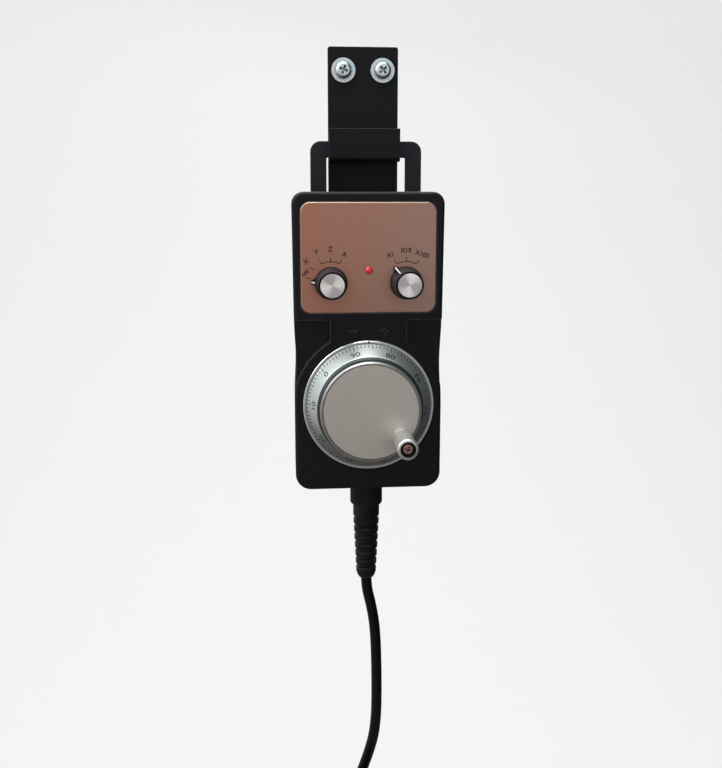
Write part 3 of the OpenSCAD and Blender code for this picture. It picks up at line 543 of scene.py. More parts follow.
class Effect(Enum):
    """Effects that several finishes share, each with the inputs that it takes."""

    GRAIN = ("Moulded grain", {"Scale": 900.0, "Depth": 0.0001})
    BRUSH = ("Brushed lay", {"Lay": (1.0, 1.0, 1.0), "Depth": 0.00002})
    TURN = ("Turned lay", {"Centre": (0.0, 0.0, 0.0), "Fineness": 2600.0, "Depth": 0.00002})
    # Edges lightened, partly rubbed and partly a painted highlight.
    WEAR = ("Edge wear", {"Reach": 0.5, "Width": 0.0006})
    # Painted shade, darker where surfaces close in.
    GRIME = ("Grime in corners", {"Amount": 0.8, "Reach": 0.0015})
    DUST = ("Settled dust", {"Amount": 0.3})
    HANDLING = ("Handling marks", {"Scale": 30.0})

    def group(self) -> bpy.types.NodeTree:
        """Build the effect's node group once.

        Returns:
            The group.
        """
        title, inputs = self.value
        found = bpy.data.node_groups.get(title)
        if found:
            return found
        group = bpy.data.node_groups.new(title, "ShaderNodeTree")
        for name, value in inputs.items():
            kind = "NodeSocketVector" if isinstance(value, tuple) else "NodeSocketFloat"
            socket = group.interface.new_socket(name, in_out="INPUT", socket_type=kind)
            socket.default_value = value
        group.interface.new_socket("Mask", in_out="OUTPUT", socket_type="NodeSocketFloat")
        group.interface.new_socket("Normal", in_out="OUTPUT", socket_type="NodeSocketVector")
        tree = Tree(group)
        mask, normal = getattr(self, "_" + self.name.lower())(tree, tree.add("Input").outputs)
        tree.add("Output", {"Mask": mask, "Normal": normal})
        return group

    @staticmethod
    def _grain(tree: Tree, ins: Sequence[Socket]) -> Pair:
        """Fine pebbled skin of moulded plastic.

        Args:
            tree: The group's tree.
            ins: The group's inputs.

        Returns:
            The mask and the normal, as every effect does.
        """
        here = tree.here()
        cells = tree.add("TexVoronoi", {"Vector": here, "Scale": ins["Scale"]}).outputs[0]
        height = tree.sum(tree.noise(here, ins["Scale"], 3.0), cells, "ADD")
        return tree.span(height, 0.5, 1.3), tree.bump(height, ins["Depth"], 0.8)

    @staticmethod
    def _brush(tree: Tree, ins: Sequence[Socket]) -> Pair:
        """Hairlines drawn out along the direction with the smallest number."""
        hair = tree.noise(tree.vector("MULTIPLY", tree.here(), ins["Lay"]), 1.0, 4.0)
        return tree.span(hair, 0.3, 0.7), tree.bump(hair, ins["Depth"], 0.6)

    @staticmethod
    def _turn(tree: Tree, ins: Sequence[Socket]) -> Pair:
        """Fine rings round an axis along Y.

        Args:
            tree: The group's tree.
            ins: The group's inputs.

        Returns:
            The mask and the normal.
        """
        arm = tree.vector("SUBTRACT", tree.here(), ins["Centre"])
        flat = tree.vector("MULTIPLY", arm, (1.0, 0.0, 1.0))
        out = tree.add("VectorMath", {0: flat}, operation="LENGTH").outputs[1]
        reach = tree.sum(tree.sum(out, tree.axes(arm)[1], "SUBTRACT"), ins["Fineness"])
        ring = tree.add("TexNoise", {"W": reach, "Scale": 1.0, "Detail": 2.0},
                        noise_dimensions="1D").outputs[0]
        return tree.span(ring, 0.3, 0.7), tree.bump(ring, ins["Depth"], 0.6)

    @staticmethod
    def _wear(tree: Tree, ins: Sequence[Socket]) -> Pair:
        """Edges rubbed bright, unevenly, and lit by a painted highlight.

        Args:
            tree: The group's tree.
            ins: The group's inputs.

        Returns:
            The mask and the normal.
        """
        normal = tree.normal()
        softened = tree.add("Bevel", {"Radius": ins["Width"]}, samples=6).outputs[0]
        meet = tree.add("VectorMath", {0: softened, 1: normal}, operation="DOT_PRODUCT").outputs[1]
        patch = tree.span(tree.noise(tree.here(), 160.0, 4.0), 0.3, 0.6, 0.35, 1)
        return tree.sum(tree.sum(tree.span(meet, 0.84, 0.99, 1, 0), patch), ins["Reach"]), normal

    @staticmethod
    def _grime(tree: Tree, ins: Sequence[Socket]) -> Pair:
        """Painted shade that darkens where surfaces close in, unevenly.

        Args:
            tree: The group's tree.
            ins: The group's inputs.

        Returns:
            The mask and the normal.
        """
        clear = tree.add("AmbientOcclusion", {"Distance": ins["Reach"]}, samples=8).outputs["AO"]
        speck = tree.span(tree.noise(tree.here(), 700.0, 3.0), 0.2, 0.6, 0.7, 1)
        dirt = tree.sum(tree.span(clear, 0.25, 0.85, 1, 0), speck)
        return tree.sum(dirt, ins["Amount"]), tree.normal()

    @staticmethod
    def _dust(tree: Tree, ins: Sequence[Socket]) -> Pair:
        """Dust that settles on what faces up.

        Args:
            tree: The group's tree.
            ins: The group's inputs.

        Returns:
            The mask and the normal.
        """
        normal = tree.normal()
        speck = tree.span(tree.noise(tree.here(), 1300.0, 4.0), 0.42, 0.7)
        dust = tree.sum(tree.span(tree.axes(normal)[2], 0.1, 1.0), speck)
        return tree.sum(dust, ins["Amount"]), normal

    @staticmethod
    def _handling(tree: Tree, ins: Sequence[Socket]) -> Pair:
        """Broad uneven sheen where hands have been."""
        broad = tree.noise(tree.here(), ins["Scale"], 5.0, Distortion=0.6)
        return tree.span(broad, 0.3, 0.7), tree.normal()


class Shader(Tree):
    """A material's tree round its one surface shader."""

    def __init__(self, name: str, plain: dict) -> None:
        """Start a material.

        Args:
            name: Its name.
            plain: Inputs of the surface that are the same all over.
        """
        self.made = bpy.data.materials.new(name)
        self.made.use_nodes = True
        super().__init__(self.made.node_tree)
        self.surface = self.add("BsdfPrincipled", plain)
        self.add("OutputMaterial", {"Surface": self.surface.outputs[0]})

    def effect(self, effect: Effect, **values: object) -> Pair:
        """Place a shared effect.

        Args:
            effect: Which one.
            values: Its inputs, in lower case.

        Returns:
            Its mask and its normal.
        """
        node = self.add("Group", node_tree=effect.group())
        for key, value in values.items():
            node.inputs[key.title()].default_value = value
        return node.outputs[0], node.outputs[1]

    def feed(self, **sockets: object) -> None:
        """Link the surface's inputs, named in lower case with underscores."""
        for key, socket in sockets.items():
            self.tree.links.new(socket, self.surface.inputs[key.replace("_", " ").title()])


@dataclass(frozen=True)
class Finish:
    """What every finish has: a name, a colour code and a roughness."""

    name: str
    colour: str
    roughness: float

    def material(self) -> bpy.types.Material:
        """The finish's material, built once."""
        return bpy.data.materials.get(self.name) or self.build().made

    def build(self) -> Shader:
        """Build the material's tree."""
        raise NotImplementedError


@dataclass(frozen=True)
class Moulded(Finish):
    """Moulded plastic or rubber with a fine skin, dusty in places, its edges lightened, partly
    rubbed and partly a painted highlight.
    """

    grain: float = 900.0
    depth: float = 0.00006
    gloss: float = 0.3
    # Colour and share of the lighter edges, partly rubbed and partly a painted highlight.
    worn: str = "4a4a50"
    wear: float = 0.5
    dust: float = 0.15
    coat: float = 0.0
    settled: str = "8c8a86"

    def build(self) -> Shader:
        """Skin grain, edges lightened as rubbed and as a painted highlight, handling sheen and
        dust.

        Returns:
            The filled shader.
        """
        shader = Shader(self.name, {"Specular IOR Level": self.gloss, "Coat Weight": self.coat,
                                    "Coat Roughness": 0.18})
        skin, normal = shader.effect(Effect.GRAIN, scale=self.grain, depth=self.depth)
        # Lightens the edges: partly rubbed, partly a painted highlight.
        edge, _ = shader.effect(Effect.WEAR, reach=self.wear)
        dust, _ = shader.effect(Effect.DUST, amount=self.dust)
        hand, _ = shader.effect(Effect.HANDLING, scale=34.0)
        dull, bright = ((*(c * share for c in tint(self.colour)[:3]), 1) for share in (0.93, 1.05))
        shade = shader.mix(hand, dull, bright)
        shade = shader.mix(skin, shader.mix(0.15, shade, (0, 0, 0, 1)), shade)
        shade = shader.mix(edge, shade, tint(self.worn))
        shader.feed(base_color=shader.mix(dust, shade, tint(self.settled)), normal=normal,
                    roughness=shader.span(hand, 0, 1, self.roughness - 0.04, self.roughness + 0.04))
        return shader


@dataclass(frozen=True)
class Plated(Finish):
    """Plated or ground metal whose tone wanders a little."""

    second: str = "9a9ca0"
    grain: float = 260.0
    metallic: float = 1.0
    # Share of the lighter edges, partly rubbed and partly a painted highlight.
    wear: float = 0.6
    # Share of the painted shade in the corners.
    dirt: float = 0.85
    # Colour of the lighter edges, partly rubbed and partly a painted highlight.
    edge: str = "f2f3f4"
    # Colour of the painted shade in the corners.
    soil: str = "1d2022"

    def build(self) -> Shader:
        """Two tones that drift into each other, lighter on the edges as rubbed and as a painted
        highlight, with painted shade in the corners.

        Returns:
            The filled shader.
        """
        shader = Shader(self.name, {"Metallic": self.metallic})
        drift, _ = shader.effect(Effect.HANDLING, scale=self.grain)
        skin, normal = shader.effect(Effect.GRAIN, scale=self.grain * 6, depth=0.000015)
        # Edges lightened, partly rubbed and partly a painted highlight.
        wear_and_highlight_share, _ = shader.effect(Effect.WEAR, reach=self.wear)
        # Painted shade that darkens the corners.
        dirt, _ = shader.effect(Effect.GRIME, amount=self.dirt, reach=0.0024)
        shade = shader.mix(drift, tint(self.colour), tint(self.second))
        shade = shader.mix(dirt, shader.mix(wear_and_highlight_share, shade, tint(self.edge)), tint(self.soil))
        shader.feed(base_color=shade, normal=normal,
                    roughness=shader.span(skin, 0, 1, self.roughness - 0.05, self.roughness + 0.08))
        return shader


@dataclass(frozen=True)
class Brushed(Finish):
    """Sheet metal with straight hairlines and a slow drift between two tones, which paints a
    reflection across the sheet.
    """

    second: str = "9a9ca0"
    lay: Point = (60.0, 60.0, 9000.0)
    # Where the drift from one tone to the other starts and ends along X: a painted reflection.
    drift_from: float = -0.04
    drift_to: float = 0.04
    # Lighter tone of the polished rim, partly a painted highlight on the edge.
    rim: str = "96836f"
    groove: str = "4a3b34"

    def build(self) -> Shader:
        """Hairlines along X over a tone that turns from left to right as a painted reflection, with
        a polished rim that is also a painted highlight.

        Returns:
            The filled shader.
        """
        shader = Shader(self.name, {"Metallic": 0.85})
        hair, normal = shader.effect(Effect.BRUSH, lay=self.lay, depth=0.00003)
        cloud, _ = shader.effect(Effect.BRUSH, lay=(46.0, 46.0, 9.0), depth=0.0)
        # Edges lightened, partly rubbed and partly a painted highlight.
        edge, _ = shader.effect(Effect.WEAR, reach=1.0, width=0.0007)
        # Painted reflection: the tone turns from left to right, with a random cloud.
        along = shader.span(shader.axes(shader.here())[0], self.drift_from, self.drift_to)
        share = shader.sum(along, shader.span(cloud, 0, 1, -0.16, 0.16), "ADD")
        shade = shader.mix(share, tint(self.colour), tint(self.second))
        shade = shader.mix(shader.span(hair, 0, 1, 0.14, 0), shade, tint(self.groove))
        # The bevel's faces and the lightened edges take the rim tone, partly a painted highlight.
        lean = shader.axes(shader.add("NewGeometry").outputs["True Normal"])[1]
        rim = shader.sum(shader.span(lean, -0.985, -0.9), edge, "MAXIMUM")
        shader.feed(base_color=shader.mix(rim, shade, tint(self.rim)), normal=normal,
                    roughness=shader.span(hair, 0, 1, self.roughness - 0.06, self.roughness + 0.08))
        return shader


@dataclass(frozen=True)
class Spun(Finish):
    """Turned metal with fine rings round an axis along Y."""

    centre: Point = (0.0, 0.0, 0.0)
    fineness: float = 9000.0
    second: str = "c9cacb"
    stretch: float = 0.0
    # Colour and share of the lighter edges, partly rubbed and partly a painted highlight.
    edge: str = "f4f4f2"
    wear: float = 0.7
    # Painted sheen: how dark two opposite sectors go, and how far they are turned.
    fans: float = 0.0
    lean: float = 0.0
    metallic: float = 0.9
    groove: str = "6c6c6c"
    # Dark tone of the painted sheen.
    fan: str = "55565a"
    # Colour of the painted shade in the corners.
    soil: str = "1c1e1e"

    def build(self) -> Shader:
        """Rings, a drifting tone, edges lightened as rubbed and as a painted highlight, painted
        shade in the corners and a painted sheen in sectors that cross the rings.

        Returns:
            The filled shader.
        """
        shader = Shader(self.name, {"Metallic": self.metallic, "Anisotropic": self.stretch})
        centre = metres(self.centre)
        ring, normal = shader.effect(Effect.TURN, centre=centre, fineness=self.fineness,
                                     depth=0.00001)
        drift, _ = shader.effect(Effect.HANDLING, scale=26.0)
        # Edges lightened, partly rubbed and partly a painted highlight.
        wear_and_highlight_share, _ = shader.effect(Effect.WEAR, reach=self.wear, width=0.0004)
        # Painted shade that darkens where surfaces close in.
        dirt, _ = shader.effect(Effect.GRIME, amount=0.7, reach=0.001)
        shade = shader.mix(drift, tint(self.colour), tint(self.second))
        shade = shader.mix(shader.span(ring, 0, 1, 0.10, 0), shade, tint(self.groove))
        # Painted sheen: two opposite sectors round the axis go darker, turned by lean.
        x, _, z = shader.axes(shader.vector("SUBTRACT", shader.here(), centre))
        around = shader.sum(shader.sum(x, z, "ARCTAN2"), 2.0)
        sheen_wedge = shader.sum(shader.sum(around, self.lean, "ADD"), 0.0, "SINE")
        shade = shader.mix(shader.span(sheen_wedge, -0.6, 0.8, self.fans, 0), shade, tint(self.fan))
        shade = shader.mix(dirt, shade, tint(self.soil))
        if self.stretch:
            shader.feed(tangent=shader.add("Tangent", direction_type="RADIAL", axis="Y").outputs[0])
        shader.feed(base_color=shader.mix(wear_and_highlight_share, shade, tint(self.edge)), normal=normal,
                    roughness=shader.span(ring, 0, 1, self.roughness - 0.05, self.roughness + 0.06))
        return shader


@dataclass(frozen=True)
class Lamp(Finish):
    """A red lens that is lit from inside."""

    cloudy: str = "f4474a"
    rim: str = "a00812"

    def build(self) -> Shader:
        """Clear skin over a glowing core that fades towards the rim.

        Returns:
            The filled shader.
        """
        shader = Shader(self.name, {"Roughness": self.roughness, "Coat Weight": 0.25,
                                    "Emission Strength": 0.06})
        cloud, _ = shader.effect(Effect.HANDLING, scale=300.0)
        side = shader.add("LayerWeight", {"Blend": 0.35}).outputs["Facing"]
        core = shader.mix(shader.span(cloud, 0, 1, 0, 0.3), tint(self.colour), tint(self.cloudy))
        shader.feed(base_color=core, emission_color=shader.mix(side, core, tint(self.rim)))
        return shader


@dataclass(frozen=True)
class Woven(Finish):
    """A woven strap: two sets of threads over and under each other."""

    pitch: float = 0.9
    between: str = "060607"

    def build(self) -> Shader:
        """Threads up and across, raised where they pass over.

        Returns:
            The filled shader.
        """
        shader = Shader(self.name, {"Sheen Weight": 0.4, "Specular IOR Level": 0.2})
        x, y, z = shader.axes(shader.here())
        rate = math.tau / (self.pitch * MM)
        warp = shader.sum(shader.sum(z, rate), 0.0, "SINE")
        weft = shader.sum(shader.sum(shader.sum(x, y, "ADD"), rate), 0.0, "SINE")
        cloth = shader.sum(warp, weft)
        fuzz, _ = shader.effect(Effect.GRAIN, scale=2600.0, depth=0.00002)
        raised = shader.bump(shader.sum(cloth, fuzz, "ADD"), 0.00012, 0.7)
        shade = shader.mix(shader.span(cloth, -1, 1), tint(self.between), tint(self.colour))
        shader.feed(base_color=shade, normal=raised,
                    roughness=shader.span(fuzz, 0, 1, self.roughness - 0.1, self.roughness + 0.1))
        return shader


@dataclass(frozen=True)
class Slotted(Finish):
    """Clear plastic disc with a ring of fine dark slots."""

    centre: Point = (0.0, 0.0, 0.0)
    slot: str = "20262a"
    pairs: float = 100.0

    def build(self) -> Shader:
        """Slots counted round the axis, on a greenish clear ground.

        Returns:
            The filled shader.
        """
        shader = Shader(self.name, {"Roughness": self.roughness, "Transmission Weight": 0.6})
        x, _, z = shader.axes(shader.vector("SUBTRACT", shader.here(), metres(self.centre)))
        around = shader.sum(shader.sum(x, z, "ARCTAN2"), self.pairs)
        slot = shader.span(shader.sum(around, 0.0, "SINE"), -0.1, 0.1)
        shader.feed(base_color=shader.mix(slot, tint(self.colour), tint(self.slot)))
        return shader


WHEEL_AXIS = (0.0, -45.0, -203.5)
CRANK_AXIS = (18.87, -65.0, -219.9)

# The lighter edge colours below are partly rubbed edges and partly a painted highlight, as on the
# case top and the hook's lip.
PLASTIC = Moulded("Black moulded plastic", "111014", 0.44, gloss=0.14, worn="6c6d76", wear=0.7,
                  dust=0.1)
LOOP_PLASTIC = Moulded("Loop plastic", "1f2026", 0.46, gloss=0.14, wear=0.6)
PAINT = Moulded("Black powder coat", "161517", 0.42, grain=1500.0, depth=0.00003, gloss=0.1,
                worn="8a8688", wear=0.8, dust=0.06)
RUBBER = Moulded("Boot rubber", "0d0d0f", 0.34, grain=1400.0, depth=0.00003, gloss=0.22,
                 worn="3c3c40", wear=0.7)
JACKET = Moulded("Cord jacket", "0a090a", 0.24, grain=1800.0, depth=0.00001, gloss=0.2,
                 worn="2c2c30", dust=0.05)
GASKET = Moulded("Gasket rubber", "0b0b0d", 0.75, gloss=0.1)
BUSH = Moulded("Bush plastic", "0b0b0c", 0.5, grain=2600.0, depth=0.00001, gloss=0.15, wear=0.1)
KNOB = replace(BUSH, name="Knob plastic", colour="101012", roughness=0.6, gloss=0.08, dust=0.0)
# Lighter copy of the knob plastic for the knob's sides: painted light where the lamps catch them.
FLANK_PAINTED_LIGHT = replace(KNOB, name="Knob flank", colour="2b2b2f", roughness=0.5, gloss=0.2)
SWITCH = Moulded("Switch plastic", "2b2b30", 0.5)
ENCODER = Moulded("Encoder paint", "3c3d41", 0.42, grain=1500.0)
BOARD = Moulded("Solder mask", "1f5a38", 0.3, grain=500.0, depth=0.00002, coat=0.5)
TERMINAL = Moulded("Terminal plastic", "2f7f4f", 0.45)
INK = Moulded("Scale ink", "1f2526", 0.6, grain=3000.0, depth=0.000005, wear=0.0, dust=0.0)
PLATE_INK = replace(INK, name="Plate ink", colour="3a221b")
WHITE = Moulded("White line", "e8e8e6", 0.5, grain=2500.0, depth=0.00001, wear=0.0, dust=0.0)
ZINC = Plated("Zinc plate", "bcdade", 0.34, second="cfc3c6")
STEEL = Plated("Bright steel", "b9bbbf", 0.28)
DARK_STEEL = Plated("Black oxide", "3a3a3e", 0.4, second="2b2b2f")
NICKEL = Plated("Nickel plate", "b0b2b5", 0.26)
COPPER = Plated("Coppery screw", "dcb3a8", 0.3, second="b07a6e", grain=1500.0, dirt=1.0)
# The warm tones and their drift from left to right paint a reflection of a warm room.
FACE = Brushed("Brushed face", "b07762", 0.38, second="a18478", drift_from=-0.05, drift_to=0.055)
# The caps carry a painted sheen in dark sectors.
CAP_WITH_PAINTED_SHEEN = Spun("Spun cap", "fbf6f4", 0.3, fineness=16000.0, second="f3eae7", stretch=0.8, wear=0.0,
           fans=0.5)
BAND = Spun("Turned wheel", "c9d0cf", 0.48, WHEEL_AXIS, 7000.0, second="c4cbca", stretch=0.3,
            metallic=1.0)
# Dark tone for the wheel's neck: painted shade.
NECK_PAINTED_SHADE = Spun("Shaded neck", "394241", 0.5, WHEEL_AXIS, 7000.0, second="323a39", wear=0.0)
RIM = Spun("Wheel rim", "918e8d", 0.44, WHEEL_AXIS, 7000.0, second="888583", wear=0.3)
DISC = Spun("Wheel face", "cbc4bc", 0.42, WHEEL_AXIS, 5200.0, second="c5bdb5")
BEZEL = Spun("Bright bezel", "cbc9cb", 0.32, WHEEL_AXIS)
GRIP = Spun("Satin grip", "c3c6c3", 0.38, CRANK_AXIS, 4200.0, second="bbbdba")
LED = Lamp("Red lens", "c21a24", 0.3)
TIE = Woven("Woven strap", "1c1c1f", 0.8)
SLOTS = Slotted("Slotted disc", "9fb0b4", 0.1, WHEEL_AXIS)


# ---- Sub-assemblies ----


def round_corners(work: Work, half: float, low: float, high: float, r: float,
                  segments: int = 8) -> Work:
    """Round the four corners of a block in front view.

    Args:
        work: The block.
        half: Half its width.
        low: Height of its lower edge.
        high: Height of its upper edge.
        r: Radius of the corners.
        segments: Faces across each corner.

    Returns:
        The block.
    """
    for x in (-half, half):
        for z in (low, high):
            work.pick(Pick.EDGES, lambda p: abs(p.x - x) < 0.05 and abs(p.z - z) < 0.05)
            work.bevel(r, segments)
    return work


@dataclass
class Holder:
    """Screwed plate and the hook that carries the loop."""

    width: float = 44
    plate_t: float = 2
    above: float = 14.3
    below: float = 112
    sheet: float = 2.5
    gap: float = 9
    lip: float = 20
    leg: float = 18
    bend: float = 1.5
    shelf: float = -53.5
    corner: float = 1.5
    pitch: float = 24.5
    washer: Point = (2.8, 7.5, 1.2)

    def plate(self) -> None:
        """Sheared plate with rounded corners and two screw holes."""
        half = self.width / 2
        work = Work.block("plate", (-half, -self.plate_t, -self.below), (half, 0, self.above))
        round_corners(work, half, -self.below, self.above, self.corner, 4)
        holes = [Work.turned("hole", (x, 1, 0), Way.FRONT, [(2.7, 0), (2.7, 5)], 32)
                 for x in (-self.pitch / 2, self.pitch / 2)]
        work.cut(*holes).soften(0.3).done("pendant", PAINT, "holder_paint", "holder_plate")

    def hook(self) -> None:
        """Folded J: a back leg, a shelf and a lip."""
        half, back = self.width / 2, -self.plate_t
        front = back - 2 * self.sheet - self.gap
        lip, leg, low = front + self.sheet, back - self.sheet, self.shelf - self.sheet
        work = Work.block("hook", (-half, front, low), (half, back, self.shelf))
        work.slice((0, lip, 0), (0, 1, 0)).slice((0, leg, 0), (0, 1, 0))
        work.pick(Pick.FACES, lambda p: p.z > self.shelf - 0.1 and p.y < lip + 0.1)
        work.draw(z=low + self.lip - self.shelf)
        work.pick(Pick.FACES, lambda p: abs(p.z - self.shelf) < 0.1 and p.y > leg - 0.1)
        work.draw(z=low + self.leg - self.shelf)
        outer, inner = self.bend + self.sheet, self.bend
        for y, z, r in ((front, low, outer), (back, low, outer),
                        (lip, self.shelf, inner), (leg, self.shelf, inner)):
            work.pick(Pick.EDGES, lambda p: abs(p.y - y) < 0.1 and abs(p.z - z) < 0.1)
            work.bevel(r, 6)
        work.soften(0.35, 3).done("pendant", PAINT, "holder_paint", "holder_hook")

    def fixings(self) -> None:
        """Two pan head screws over plain washers."""
        bore, rim, thick = self.washer
        rings = [(bore, 0), (rim, 0), (rim, thick), (bore, thick), (bore, 0)]
        for mark, x, turn in (("l", -self.pitch / 2, 20), ("r", self.pitch / 2, 50)):
            on, under = (x, -self.plate_t, 0), (x, -self.plate_t - thick, 0)
            washer = Work.turned(f"washer_{mark}", on, Way.FRONT, rings, 56, True)
            washer.soften(0.2).done("pendant", ZINC, "zinc", f"holder_washer_{mark}")
            screw = cross_screw(f"screw_{mark}", under, Way.FRONT, 10.2, 3.4, 5, 13.2, turn, 1.2)
            screw.done("pendant", ZINC, "zinc", f"holder_screw_{mark}")

    def build(self) -> None:
        """Make the holder."""
        self.plate()
        self.hook()
        self.fixings()


@dataclass
class HangerLoop:
    """Flat loop that hangs in the hook."""

    inside: float = 24.7
    bar: float = 10
    top: float = -43.5
    bottom: float = -90.5
    back: float = -6.75
    front: float = -11.25
    corner: float = 6.5
    play: float = 1.2

    def build(self) -> None:
        """Bar with two legs that run down into the case."""
        out, low = self.inside + self.bar, self.top - self.bar
        work = Work.block("loop", (-out, self.front, low), (out, self.back, self.top))
        work.slice((-self.inside, 0, 0), (1, 0, 0)).slice((self.inside, 0, 0), (1, 0, 0))
        for side in (-1, 1):
            work.pick(Pick.FACES, lambda p: abs(p.z - low) < 0.1 and p.x * side > self.inside - 0.1)
            work.draw(z=self.bottom - low)
        for x in (-out, out):
            work.pick(Pick.EDGES, lambda p: abs(p.x - x) < 0.1 and p.z > self.top - 0.1)
            work.bevel(self.corner, 8)
        work.mould(lambda p: p + Vector((self.play, 0, 0)))
        work.soften(0.7, 3).done("pendant", LOOP_PLASTIC, "loop_plastic", "hanger_loop")


@dataclass
class Case:
    """Two moulded halves, screwed together from behind."""

    top_w: float = 91.5
    width: float = 90
    top: float = -74.5
    bottom: float = -257
    back: float = -2
    seam_back: float = -16
    seam_front: float = -17
    front: float = WHEEL_AXIS[1]
    wall: float = 2.5
    top_r: float = 7.5
    bottom_r: float = 9.5
    edge_r: float = 2.2
    waist: float = 1
    step: float = -150.8
    dial: float = WHEEL_AXIS[2]
    platform: float = 46
    tab: float = 46.5
    pocket: float = -41
    play: float = 0.2
    screws: Rings = ((39.25, -96), (37.5, -246.5))
    sunk: float = 3.2
    mark_x: float = 9.7
    mark_z: float = -157.75
    mark_w: float = 5
    mark_h: float = 4.9
    stroke: float = 1.1

    def half_width(self, z: float) -> float:
        """Half the case's width, which changes with the height.

        Args:
            z: The height.

        Returns:
            Half the width there.
        """
        if z >= self.step:
            share = (z - self.step) / (self.top - self.step)
            return self.width / 2 + (self.top_w - self.width) / 2 * share
        if z <= self.dial:
            return self.width / 2
        share = (self.step - z) / (self.step - self.dial)
        return self.width / 2 - self.waist * math.sin(math.pi * share) ** 2

    def shell(self, name: str, front: float, back: float, outer: float, way: int) -> Work:
        """One half: outline, round corners, bevelled outer edge and cavity.

        Args:
            name: The piece's name.
            front: Depth of its front face.
            back: Depth of its back face.
            outer: Depth of the face that shows.
            way: Direction of the cavity from the seam, as a sign of Y.

        Returns:
            The opened piece.
        """
        half = self.top_w / 2
        work = Work.block(name, (-half, front, self.bottom), (half, back, self.top))
        for i in range(11):
            work.slice((0, 0, self.step + (self.dial - self.step) * i / 10), (0, 0, 1))
        work.mould(lambda p: Vector((math.copysign(self.half_width(p.z), p.x), p.y, p.z)))
        for x in (-1, 1):
            for z, r in ((self.top, self.top_r), (self.bottom, self.bottom_r)):
                work.pick(Pick.EDGES, lambda p: p.x * x > 0 and abs(p.z - z) < 0.1)
                work.bevel(r, 9)
        work.pick(Pick.FACES, lambda p: abs(p.y - outer) < 0.01)
        bpy.ops.mesh.region_to_loop()
        work.bevel(self.edge_r, 5)
        seam, floor = (back, self.pocket) if outer == front else (front, back)
        work.pick(Pick.FACES, lambda p: abs(p.y - seam) < 0.01)
        work.inset(self.wall)
        work.draw(y=way * (abs(floor - seam) - self.wall))
        return work.merge()

    def pockets(self) -> list[Work]:
        """The two low corners between the head and the platform.

        Returns:
            A cutter for each.
        """
        left = Work.block("pocket", (-60, self.front - 2, self.dial),
                          (-self.tab / 2, self.pocket, self.step))
        r, front = self.platform, -self.front
        disc = Work.turned("platform", (0, 0, self.dial), Way.FRONT, [
            (r, 30), (r, front - 1.3), (r - 0.2, front - 0.75), (r - 0.6, front - 0.3),
            (r - 1.3, front), (r - 1.3, 60)], 144)
        left.cut(disc)
        return [left, left.mirrored()]

    def recess(self) -> Work:
        """Shallow seat of the face plate, with a little play all round.

        Returns:
            The cutter for it.
        """
        plate, play = FacePlate(), self.play
        half, low, high = plate.half + play, plate.low - play, plate.high + play
        work = Work.block("seat", (-half, self.front - 1, low), (half, self.front + 0.4, high))
        return round_corners(work, half, low, high, plate.corner + play)

    def front_half(self) -> None:
        """Front half with its pockets and the seat of the face plate."""
        work = self.shell("front_half", self.front, self.seam_front, self.front, -1)
        work.cut(*self.pockets(), self.recess()).soften(0.6, 3, 50)
        work.done("pendant", PLASTIC, "case_plastic", "front_case")

    def rear_half(self) -> None:
        """Rear half with four counterbored screws."""
        work = self.shell("rear_half", self.seam_back, self.back, self.back, 1)
        places = [(x, z) for dx, z in self.screws for x in (-dx, dx)]
        rings = [(3, 0), (3, self.sunk + 1)]
        bores = [Work.turned("bore", (x, self.back + 1, z), Way.FRONT, rings, 32)
                 for x, z in places]
        work.cut(*bores).soften(0.3, 2, 40).done("pendant", PLASTIC, "case_plastic", "rear_cover")
        for (x, z), mark, turn in zip(places, ("tl", "tr", "bl", "br"), (12, 38, 71, 25)):
            screw = cross_screw(f"cover_screw_{mark}", (x, self.back - self.sunk, z), Way.BACK,
                                5.6, 2.2, 3, 19, turn)
            screw.done("pendant", STEEL, "small_steel", f"case_screw_{mark}")

    def turn_marks(self) -> None:
        """Raised minus and plus beside the dial's index."""
        top, foot, x, z = self.front - 0.35, self.front + 0.3, self.mark_x, self.mark_z
        w, h, thin = self.mark_w / 2, self.mark_h / 2, self.stroke / 2
        minus = Work.block("minus_mark", (-x - w, top, z - thin), (w - x, foot, z + thin))
        minus.soften(0.2).done("pendant", PLASTIC, "case_plastic")
        plus = Work.block("plus_mark", (x - w, top, z - thin), (x + w, foot, z + thin))
        bar = Work.block("bar", (x - thin, top, z - h), (x + thin, foot, z + h))
        plus.cut(bar, join=True).soften(0.2).done("pendant", PLASTIC, "case_plastic")

    def build(self) -> None:
        """Make both halves and the raised marks."""
        self.front_half()
        self.rear_half()
        self.turn_marks()


